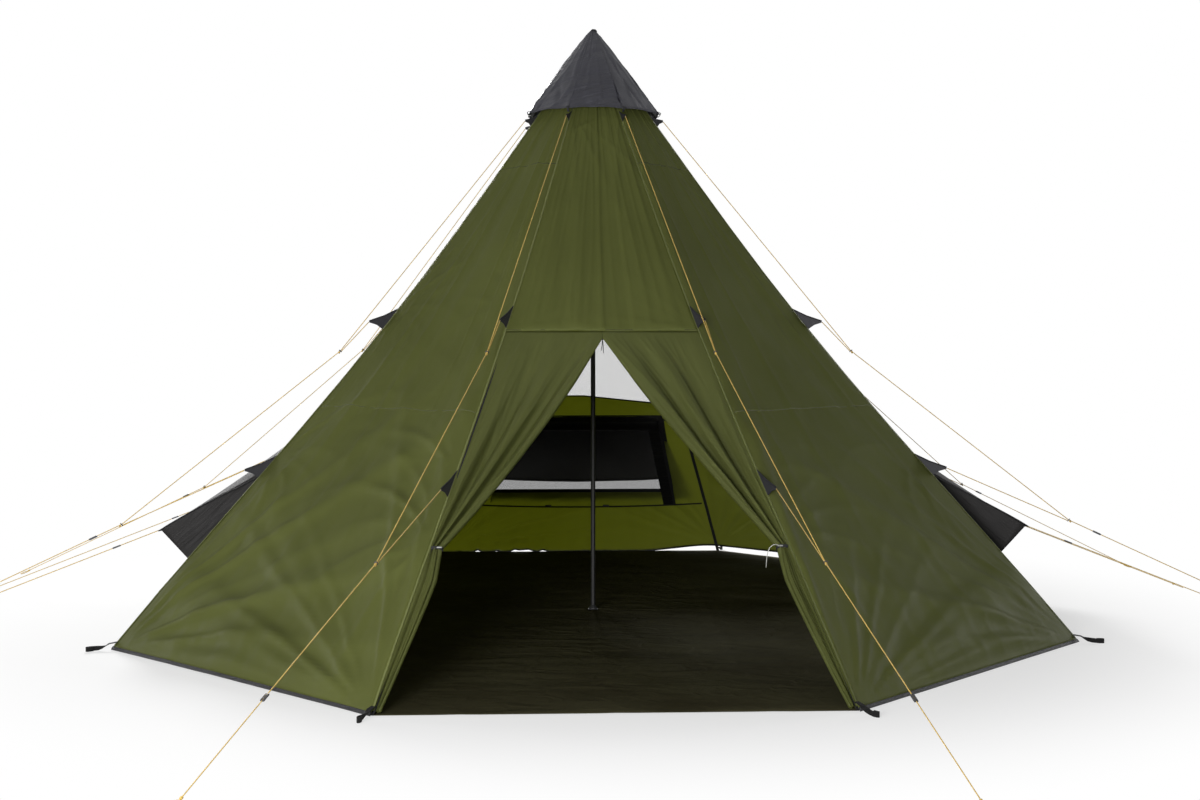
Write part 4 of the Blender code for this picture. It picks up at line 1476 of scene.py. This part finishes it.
def net_finish(name, colour, cover):
    """Net: threads from the cloth's own UV map, and gaps between them that let light pass."""
    made, tree, shader, coordinates = start_finish(name, 0.8, specular=0.1)
    most = maths(tree, "MAXIMUM", *threads(tree, coordinates["UV"], net_pitch))
    solid = ranged(tree, most, 0.0, 1.0, cover - 0.30, min(1.0, cover + 0.15))
    drift = patches(tree, coordinates["Object"], 6.0, 3.0)
    join(tree, shader, Base_Color=tint(tree, drift, colour, tuple(c * 0.75 for c in colour)))
    mixed_surface(tree, solid, add_node(tree, "ShaderNodeBsdfTransparent"), shader)
    return made


dark_net = net_finish("dark_net", (0.014, 0.013, 0.013), 0.70)
pale_net = net_finish("pale_net", (0.62, 0.63, 0.66), 0.38)


def net_panel(name, node, side, hole, finish, slot):
    low, high, hole_share = hole
    share = hole_share + net_overlap

    def place(u, z):
        z -= edge_drop(side, u, z)
        sag = net_sag * random_at(u * 2.0, z * 5.0, side) * (1.0 - (u / share) ** 8)
        return on_wall(side, u * half_width(z), z, sag - net_sink)

    rows = spread(low - net_overlap, 16, high + net_overlap)
    panel = cloth(name, spread(-share, 40, share), rows, place, wall_cut, finish, depth=0)
    belongs(panel, slot, node)
    flat = (2.0 * share * half_width(low), (high - low) * slope_stretch * 1.05)
    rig.sheet(panel, flat=flat, held="stretched", rests_on=["wall_cloth_rear"])


for place, side in window_sides.items():
    names = "window_net_" + place, "window_mesh_" + place
    net_panel(*names, side, window_hole, dark_net, "dark_mesh")
net_panel("rear_vent_net", "rear_vent_mesh", 180.0, openings[180.0][1], pale_net, "pale_mesh")

ring_radius_flat = 0.19
ring_waver, ring_sink = 0.0015, 0.001
crown_depth = 0.0014
peak_sheets = (
    ("peak_net", "peak_vent_mesh", "dark_mesh", dark_net, 0.0, 10, 2.798, 2.957, (1.25, 0.21), 0.16),
    (
        "crown_cloth", "peak_crown", "black_webbing", tab_grey, crown_depth, 12, 2.9553, 3.030,
        (0.60, 0.12), 0.036,
    ),
)  # piece, node, slot, finish, depth, rows, lowest and highest point, flat size and area


def ring_point(u, z):
    turn, inside, out = round_the_pole(u, seam_radius(z))
    out += ring_waver * random_at(u * 40.0, z * 9.0, 3.0) - ring_sink
    return in_plane(math.degrees(turn) + first_corner, out, z)


def ring_cut(u, z):
    return u * 2.0 * math.pi * ring_radius_flat, z * slope_stretch


for name, node, slot, finish, depth, count, low, high, flat, area in peak_sheets:
    ring = cloth(
        name, spread(0.0, 96, 1.0), spread(low, count, high), ring_point, ring_cut, finish,
        depth=depth, closed=True,
    )
    belongs(ring, slot, node)
    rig.sheet(ring, flat=flat, held="stretched", rests_on=["pole_tip"], area=area)

# Window borders: black tape sewn round each net, and inside the rear window a curtain's
# zip line below it with its two toggles.
border_width, border_depth = 0.024, 0.0016
border_stands = {"inner": -0.0042, "outer": 0.0012}
border_places = (
    [(u, window_bottom) for u in spread(-window_share, 24, window_share)]
    + [(window_share, z) for z in spread(window_bottom, 10, window_top)[1:]]
    + [(u, window_top) for u in spread(window_share, 24, -window_share)[1:]]
    + [(-window_share, z) for z in spread(window_top, 10, window_bottom)[1:-1]]
)
for place, side in window_sides.items():
    for face, stand in border_stands.items():
        points = [on_wall(side, u * half_width(z), z, stand) for u, z in border_places]
        line = [
            (point, ahead.cross(wall_normal(side)), wall_normal(side))
            for point, ahead in zip(points, headings(points, closed=True))
        ]
        name = f"window_border_{place}_{face}"
        strip(name, line, border_width, border_depth, black_tape, closed=True)

vent_edge_width, vent_edge_depth = 0.010, 0.0020
vent_edge_below, vent_edge_sink = 0.004, 0.002
points = [
    wall_point(180.0)(u, vent_bottom - vent_edge_below) - wall_normal(180.0) * vent_edge_sink
    for u in spread(-vent_share, 40, vent_share)
]
line = tape_line(180.0, points, -1.0)
strip("rear_vent_edge", line, vent_edge_width, vent_edge_depth, black_tape)

cover_flat = 0.20  # of the cover, round its roll
cover_depth = 0.0010
cover_tall, cover_deep = 0.040, 0.017
cover_waver_tall, cover_waver_deep = 0.003, 0.002
cover_below, cover_sink = 0.030, 0.024  # from the window's top, and in from the wall
cover_black = cloth_finish(
    "cover_black", (0.010, 0.010, 0.010), (0.006, 0.006, 0.006), 0.6, 0.0012, 0.12, crumple=0.003
)


def cover_point(u, v):
    """The rear window's inner cover, rolled up along the top. v goes round the roll."""
    turn = v * 2.0 * math.pi
    tall = cover_tall + cover_waver_tall * random_at(u * 9.0, math.sin(turn), 2.0)
    deep = cover_deep + cover_waver_deep * random_at(u * 14.0, math.cos(turn), 5.0)
    z = window_top - cover_below + math.sin(turn) * tall * math.sin(lean)
    return on_wall(180.0, u * half_width(window_top), z, math.cos(turn) * deep - cover_sink)


def cover_cut(u, v):
    return u * half_width(window_top), v * cover_flat


cover = cloth(
    "rear_cover_roll", spread(-window_share, 60, window_share), spread(0.0, 24, 1.0), cover_point,
    cover_cut, cover_black, depth=cover_depth, closed=True,
)
belongs(cover, "black_webbing")
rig.sheet(
    cover, flat=(2.0 * window_share * half_width(window_top), cover_flat), held="gathered",
    rests_on=["wall_cloth_rear"],
)

pleats_width, pleats_depth, pleats_aside = 0.070, 0.0012, 0.040
pleats_sink, pleat_size, pleat_turn = 0.0090, 0.0016, 260.0
band_width, band_depth, band_sink = 0.016, 0.0030, 0.0100
zip_width, zip_depth, zip_sink = 0.012, 0.0022, 0.0110
zip_end, zip_end_height, zip_sag = 0.97, 0.372, 0.024
top_tape_width, top_tape_depth = 0.007, 0.0018
top_tape_rise, top_tape_sag = 0.012, 0.020


def zip_height(u):
    """The height of the cover's zip line, which sags a little below the window."""
    return zip_end_height - zip_sag * (1.0 - u * u)


def rear_point(u, z, sink, aside=0.0):
    """A point inside the rear wall."""
    return on_wall(180.0, u * half_width(z) + aside, z, -sink)


band_line, pleat_line = [], []
for z in spread(zip_height(-window_share), 60, window_top - 0.02):
    sink = pleats_sink - pleat_size * math.sin(z * pleat_turn)
    pleat = rear_point(-window_share, z, sink, pleats_aside)
    pleat_line.append((pleat, across(180.0), -wall_normal(180.0)))
    band = rear_point(-window_share, z, band_sink)
    band_line.append((band, across(180.0), -wall_normal(180.0)))
strip("rear_cover_pleats", pleat_line, pleats_width, pleats_depth, cover_black)
strip("rear_cover_band", band_line, band_width, band_depth, black_tape)
points = [rear_point(u, zip_height(u), zip_sink) for u in spread(-zip_end, 60, zip_end)]
strip("rear_cover_zip", tape_line(180.0, points, -1.0), zip_width, zip_depth, black_tape)
points = []
for share in spread(0.0, 8, 1.0):
    z = window_top + top_tape_rise - top_tape_sag * math.sin(math.pi * share * 0.9)
    u = -window_share - (zip_end - window_share) * share
    points.append(rear_point(u, z, band_sink))
line = tape_line(180.0, points, -1.0)
strip("rear_cover_tape", line, top_tape_width, top_tape_depth, black_tape)

zip_toggle_radius, zip_toggle_length, zip_toggle_rounding = 0.0075, 0.042, 0.003
zip_toggle_rise, zip_toggle_sink = 0.008, 0.013
zip_toggle_shares = (0.26, -0.20)


def toggle(name, place, radius, length, rounding, sides, finish, body="tent"):
    """A turned plastic toggle, its axis along the local Z of its place."""
    made = start_piece(
        name, bpy.ops.mesh.primitive_cylinder_add, vertices=sides, radius=radius, depth=length
    )
    complete(rounded(made, rounding), place, finish)
    bpy.ops.object.shade_smooth()
    belongs(made, "black_plastic", body=body)


for number, u in enumerate(zip_toggle_shares):
    middle = rear_point(u, zip_height(u) + zip_toggle_rise, zip_toggle_sink)
    toggle(
        f"rear_cover_toggle_{number}", facing(middle, across(180.0), upright), zip_toggle_radius,
        zip_toggle_length, zip_toggle_rounding, 14, black_plastic,
    )

# Hoods: a stiff charcoal flap over each window on a thin rod, with a bound black edge. Its
# cloth gussets hold it off the wall, and it hinges at its seam.
hood_depth = 0.0012
hood_sink = 0.0004
hood_sag, hood_waver, hood_tip_sag = 0.010, 0.004, 0.022
hood_still = 0.05  # the cloth beside the hinge doesn't sag
droop_size = 0.070
hood_edge_width, hood_edge_depth, hood_edge_start = 0.018, 0.0042, 0.01
hood_cloth = cloth_finish(
    "hood_cloth", (0.023, 0.022, 0.022), (0.015, 0.014, 0.014), 0.55, 0.0014, 0.14, crumple=0.0016
)


def hood_half(along):
    return hood_root_half + (hood_tip_half - hood_root_half) * along / hood_length


def hood_droop(share):
    """How far a hood's side edges hang below its middle, at a share of its length."""
    share = min(1.0, max(0.0, share))
    return droop_size * math.sin(math.pi * share ** 0.55) * (1.0 - share) ** 0.4


def hood_surface(side):
    def place(u, along):
        share = along / hood_length
        sag = hood_sag * (1.0 - u * u) * math.sin(math.pi * share)
        sag += hood_waver * random_at(u * 4.0 + side, along * 3.0, 1.0)
        sag *= min(1.0, along / hood_still)
        sag += hood_droop(share) * abs(u) ** 5 + hood_tip_sag * (1.0 - u * u) * share ** 3
        return hood_point(side, along, hood_thickness - hood_sink - sag, u * hood_half(along))

    return place


def hood_cut(u, along):
    return u * hood_half(along), along


def closing_line(side):
    """From the wall straight out to a hood's tip. Cloth turns more, the further out it is."""
    tip = hood_point(side, hood_length, 0.0, 0.0)
    stands = (tip - on_wall(side, 0.0, hood_hinge_height)).dot(wall_normal(side))
    return tip - wall_normal(side) * stands, tip


hood_edge_places = (
    [(-1.0, along) for along in spread(hood_edge_start, 16, hood_length)]
    + [(u, hood_length) for u in spread(-1.0, 24, 1.0)[1:]]
    + [(1.0, along) for along in spread(hood_length, 16, hood_edge_start)[1:]]
)
for place, side in window_sides.items():
    surface = hood_surface(side)
    moves = {"body": "hood_" + place, "bend": closing_line(side)}
    top = cloth(
        "hood_cloth_" + place, spread(-1.0, 44, 1.0), spread(0.0, 30, hood_length), surface,
        hood_cut, hood_cloth, depth=hood_depth,
    )
    belongs(top, "hood_fabric", "hood_" + place, **moves)
    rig.sheet(
        top, flat=(2.0 * hood_tip_half, hood_length), held="stretched",
        rests_on=["wall_cloth_" + place],
    )
    points = [surface(*at) for at in hood_edge_places]
    up_hood = hood_point(side, 0.0, 1.0, 0.0) - hood_point(side, 0.0, 0.0, 0.0)
    line = [(point, ahead.cross(up_hood), up_hood) for point, ahead in zip(points, headings(points))]
    strip("hood_edge_" + place, line, hood_edge_width, hood_edge_depth, black_tape, **moves)

# Gussets: a triangle of the hood's cloth at each of its sides, from the wall to the hood's
# edge. They are taut when the hood is open and fold as it closes.
gusset_foot_height, gusset_foot_sideways, gusset_foot_stand = 0.365, 0.60, 0.001
gusset_start, gusset_stop = 0.012, 0.006  # from the hinge, and from the hood's tip
gusset_below, gusset_inset = -0.001, 0.002
gusset_hang, gusset_waver = 0.014, 0.004
gusset_flat, gusset_area = (0.80, 0.33), 0.10


def gusset_surface(side, way):
    foot = on_wall(side, way * gusset_foot_sideways, gusset_foot_height, gusset_foot_stand)
    near_wall, tip = [
        hood_point(side, along, gusset_below, way * (hood_half(half_at) - gusset_inset))
        for along, half_at in ((gusset_start, gusset_start), (hood_length - gusset_stop, hood_length))
    ]

    def place(u, v):
        """u runs from the wall to the hood's edge, and v from the foot up."""
        point = foot.lerp(near_wall, v).lerp(foot.lerp(tip, v), u)
        waver = gusset_waver * random_at(u * 6.0, v * 4.0, side + way)
        hang = (gusset_hang * (1.0 - 0.4 * v) + waver) * math.sin(math.pi * u) * v
        return point - upright * (hood_droop(u) * 0.85 * v) - across(side) * (way * hang)

    return place


def gusset_cut(u, v):
    return u * v * 0.78, v * 0.62


for place, side in window_sides.items():
    for hand, way in hands.items():
        gusset = cloth(
            f"gusset_{place}_{hand}", spread(0.0, 22, 1.0), spread(0.0, 24, 1.0)[1:],
            gusset_surface(side, way), gusset_cut, hood_cloth,
        )
        node = f"hood_gusset_{place}_{hand}"
        belongs(gusset, "hood_fabric", node, "hood_" + place, closing_line(side))
        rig.sheet(
            gusset, flat=gusset_flat, held="stretched", rests_on=["hood_cloth_" + place],
            area=gusset_area,
        )

# Door flaps: the two halves of the door, each rolled up along its free edge, drawn aside in
# long folds and tied back to the front seam. Their tops are sewn under the header.
door_top = header_foot - 0.0003
door_foot = 0.020
apex_height = 1.468  # the flaps meet above it
bend_top, bend_foot = 1.47, 0.95  # heights between which the cloth bends as a flap swings
flap_olive = cloth_finish(
    "flap_olive", (0.090, 0.100, 0.030), (0.076, 0.085, 0.025), 0.42, 0.0012, 0.15,
    through=(0.30, (0.42, 0.45, 0.075)), crumple=0.0018,
)
ways = {"left": -1, "right": 1}
tie_height = 0.5875
tie_reach = 0.705
edge_droops = {-1: 0.038, 1: 0.006}
strip_width = 0.078
strip_foot_width = 0.032
gather_share = 0.8
roll_radius = 0.017
strip_roll_radius = 0.013
roll_turns = 5.0
roll_step = 0.0020  # from one turn of the roll to the next
roll_thins = 0.22  # below the apex
roll_waver = 0.0014
fold_low, fold_high, fold_belly = 0.014, 0.008, 0.040
flap_creases = (0.0070, 0.0030)
header_gather, header_gather_reach = 0.0080, 0.09


def free_edge(z, way):
    """How far a flap's free edge is from the door's middle at a height."""
    if z >= apex_height:
        return 0.0
    if z >= tie_height:
        share = (apex_height - z) / (apex_height - tie_height)
        return tie_reach * share - edge_droops[way] * 4.0 * share * (1.0 - share)
    gather = half_width(tie_height) - tie_reach
    share = z / tie_height
    widest = strip_foot_width + (strip_width - strip_foot_width) * math.sin(math.pi * share / 2.0)
    near_tie = max(0.0, (share - gather_share) / (1.0 - gather_share))
    return half_width(z) - (widest * (1.0 - near_tie) + gather * near_tie)


def edge_roll(z):
    """The radius of the roll along the free edge at a height."""
    if z >= tie_height:
        return roll_radius * min(1.0, 0.14 + max(0.0, apex_height - z) / roll_thins)
    share = z / tie_height
    return strip_roll_radius * (0.75 + 0.25 * share) + (roll_radius - strip_roll_radius) * share ** 6


def flap_surface(way):
    def place(u, z):
        """u runs from the seam at 0 to the roll at 1, and on round the roll for each turn.
        It is below 0 on the right flap, whose columns run the other way."""
        u = abs(u)
        outer = half_width(z) - seam_inset
        radius = edge_roll(z)
        flat_u = min(u, 1.0)
        sideways = outer + (free_edge(z, way) + radius - outer) * flat_u
        high = max(0.0, (z - tie_height) / (door_top - tie_height))
        size, waves = fold_low, 1.5
        if z >= tie_height:
            size = fold_high + fold_belly * math.sin(math.pi * min(1.0, high * 1.05) ** 0.8)
            waves = 2.3
        phase = 0.7 + way * 0.5 + 0.9 * random_at(way * 3.0, z * 1.1, 1.0)
        fold = math.sin(2.0 * math.pi * (waves * flat_u ** 1.25) + phase)
        fold = math.copysign(abs(fold) ** 0.75, fold)
        long = crease(flat_u * 4.0 + way, z * 0.7, way * 5.0, 0.10) * (1.0 - 0.6 * high)
        depth = (0.5 * fold - 0.5) * size + flap_creases[0] * long
        depth += flap_creases[1] * crease(flat_u * 9.0, z * 3.0 - flat_u * 4.0, way * 8.0, 0.12)
        under_header = (door_top - z) / header_gather_reach
        wrinkle = random_at(sideways * 24.0, z * 3.0, way * 2.0)
        depth += header_gather * wrinkle * math.exp(-under_header)
        depth *= min(1.0, flat_u / 0.10) * min(1.0, under_header + 0.05)
        turned = max(0.0, u - 1.0)
        if turned:
            turn = 2.0 * math.pi * turned
            step = min(roll_step, radius / (roll_turns + 1.5))
            waver = roll_waver * random_at(z * 6.0, turn * 0.4, way) * min(1.0, turned)
            curl = radius - step * turned + waver
            sideways -= math.sin(turn) * curl
            depth += math.cos(turn) * curl - radius
        return on_wall(0.0, way * sideways, z, depth - cloth_sink)

    return place


def flap_cut(u, z):
    u = abs(u)
    around = max(0.0, u - 1.0) * 2.0 * math.pi * roll_radius * 0.7
    return min(u, 1.0) * (half_width(z) - free_edge(z, -1)) + around, z * slope_stretch


flap_columns = spread(0.0, 70, 1.0, round(roll_turns * 16), 1.0 + roll_turns)
flap_rows = spread(door_foot, 44, tie_height, 86, door_top)
flap_length = (door_top - door_foot) * slope_stretch
tie_width, tie_depth, tie_sides = 0.013, 0.0018, 28
tie_sink, tie_deep, tie_room = 0.014, 0.018, 0.003
for place, way in ways.items():
    columns = flap_columns if way < 0 else [-u for u in reversed(flap_columns)]
    flap = cloth("door_cloth_" + place, columns, flap_rows, flap_surface(way), flap_cut, flap_olive)
    line = (on_wall(0.0, 0.0, bend_top), on_wall(0.0, 0.0, bend_foot))
    belongs(flap, "olive_fabric", "door_flap_" + place, "door_" + place, line)
    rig.sheet(
        flap, flat=(half_width(door_foot), flap_length), held="gathered",
        rests_on=["header_cloth"],
        area=(half_width(door_foot) + half_width(door_top)) / 2.0 * flap_length,
    )

    middle = (tie_reach + half_width(tie_height)) / 2.0
    half_gather = (half_width(tie_height) - tie_reach) / 2.0 + tie_room
    centre = on_wall(0.0, way * middle, tie_height, -tie_sink)
    ring = []
    for k in range(tie_sides):
        turn = 2.0 * math.pi * k / tie_sides
        sideways = middle + math.cos(turn) * half_gather
        stand = math.sin(turn) * tie_deep - tie_sink
        point = on_wall(0.0, way * sideways, tie_height, stand)
        ring.append((point, upright, (point - centre).normalized()))
    strip(
        "door_tie_band_" + place, ring, tie_width, tie_depth, black_tape, closed=True,
        body="door_" + place, node="door_tie_" + place,
    )

# Toggle cords: a short pale cord with a turned toggle on each tie. The right one hangs loose.
# Each toggle pushes through the tie's loop, and so holds the flap gathered.
# The second colour is the painted shade between the strands of the braid.
pale_cord = braid_finish("pale_cord", (0.62, 0.62, 0.58), (0.35, 0.35, 0.32), 0.005)
pale_plastic = plastic_finish("pale_plastic", (0.17, 0.175, 0.165), 0.45)
toggle_radius, toggle_length, toggle_rounding = 0.0033, 0.022, 0.0022
toggle_aside, toggle_stand = 0.012, 0.006
for place, way in ways.items():
    middle = on_wall(0.0, way * (tie_reach + toggle_aside), tie_height, toggle_stand)
    toggle(
        "door_toggle_" + place, facing(middle, across(0.0), upright), toggle_radius,
        toggle_length, toggle_rounding, 16, pale_plastic, "door_" + place,
    )

loose_radius = 0.0016
loose_aside, loose_stand, loose_forward = 0.004, 0.010, 0.006
loose_run = (
    (0.0, 0.0), (-0.014, 0.004), (-0.028, 0.0), (-0.040, -0.012), (-0.047, -0.030),
    (-0.051, -0.052), (-0.053, -0.076), (-0.054, -0.094),
)  # sideways and up from its knot
loose_start = on_wall(0.0, tie_reach + loose_aside, tie_height, loose_stand)
loose_line = [loose_start + Vector((out, -loose_forward, up)) for out, up in loose_run]
loose, path = rope_tube("door_tie_cord", loose_line, loose_radius, pale_cord, sides=6)
belongs(loose, "tan_rope", body="door_right")
declare_cord(loose, path, loose_radius, "hanging")

# Zip pull: a black slider at the door's apex with a thin cord pull that hangs from it. The
# slider is moulded plastic, and its two cord ends are cut to different lengths.
pull_size = (0.0085, 0.0022, 0.040)
pull_rounding = 0.0009
pull_drop, pull_foot_drop = 0.0225, 0.040  # from the node's top to its middle and its foot
low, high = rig.box("zip_pull")
pull_top = Vector(((low.x + high.x) / 2.0, (low.y + high.y) / 2.0, high.z))
pull = rounded(block("zip_pull_tag", pull_size), pull_rounding)
complete(pull, Matrix.Translation(pull_top - upright * pull_drop), black_plastic)
belongs(pull, "black_plastic", "zip_pull", "zip_pull")

# The second colour is the painted shade between the strands of the braid.
pull_cord = braid_finish("pull_cord", (0.020, 0.020, 0.021), (0.008, 0.008, 0.009), 0.003)
tail_radius = 0.0018
tail_runs = ((-0.005, 0.052), (0.006, 0.064))  # sideways and down, of the two cord ends
tail_waver, tail_forward = 0.001, 0.0005
pull_foot = pull_top - upright * pull_foot_drop
for number, (aside, drop) in enumerate(tail_runs):
    line = []
    for k in range(5):
        sideways = aside * k / 4.0 + tail_waver * math.sin(k)
        line.append(pull_foot + Vector((sideways, -tail_forward * k, -drop * k / 4.0)))
    tail, path = rope_tube(f"zip_cord_{number}", line, tail_radius, pull_cord, sides=6)
    belongs(tail, "black_plastic", body="zip_pull")
    declare_cord(tail, path, tail_radius, "hanging")

# Pole: three black powder-coated steel tubes that plug together, on a plastic foot and
# under a plastic plug with a pin. These are the frame's own solids.
pole_black = plastic_finish("pole_black", (0.005, 0.005, 0.005), 0.5)
pole_finishes = {
    "pole_lower": pole_black, "pole_middle": pole_black, "pole_upper": pole_black,
    "pole_foot": black_plastic, "pole_tip": black_plastic,
}
for node, finish in pole_finishes.items():
    frame["nodes"][node].data.materials.clear()
    frame["nodes"][node].data.materials.append(finish)


def plain_box(box):
    """A box as plain lists of numbers."""
    return [[float(v) for v in corner] for corner in box]


json.dump({"cad": plain_box(cad_box), "visual": plain_box(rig.bounds())}, open("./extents.json", "w"))
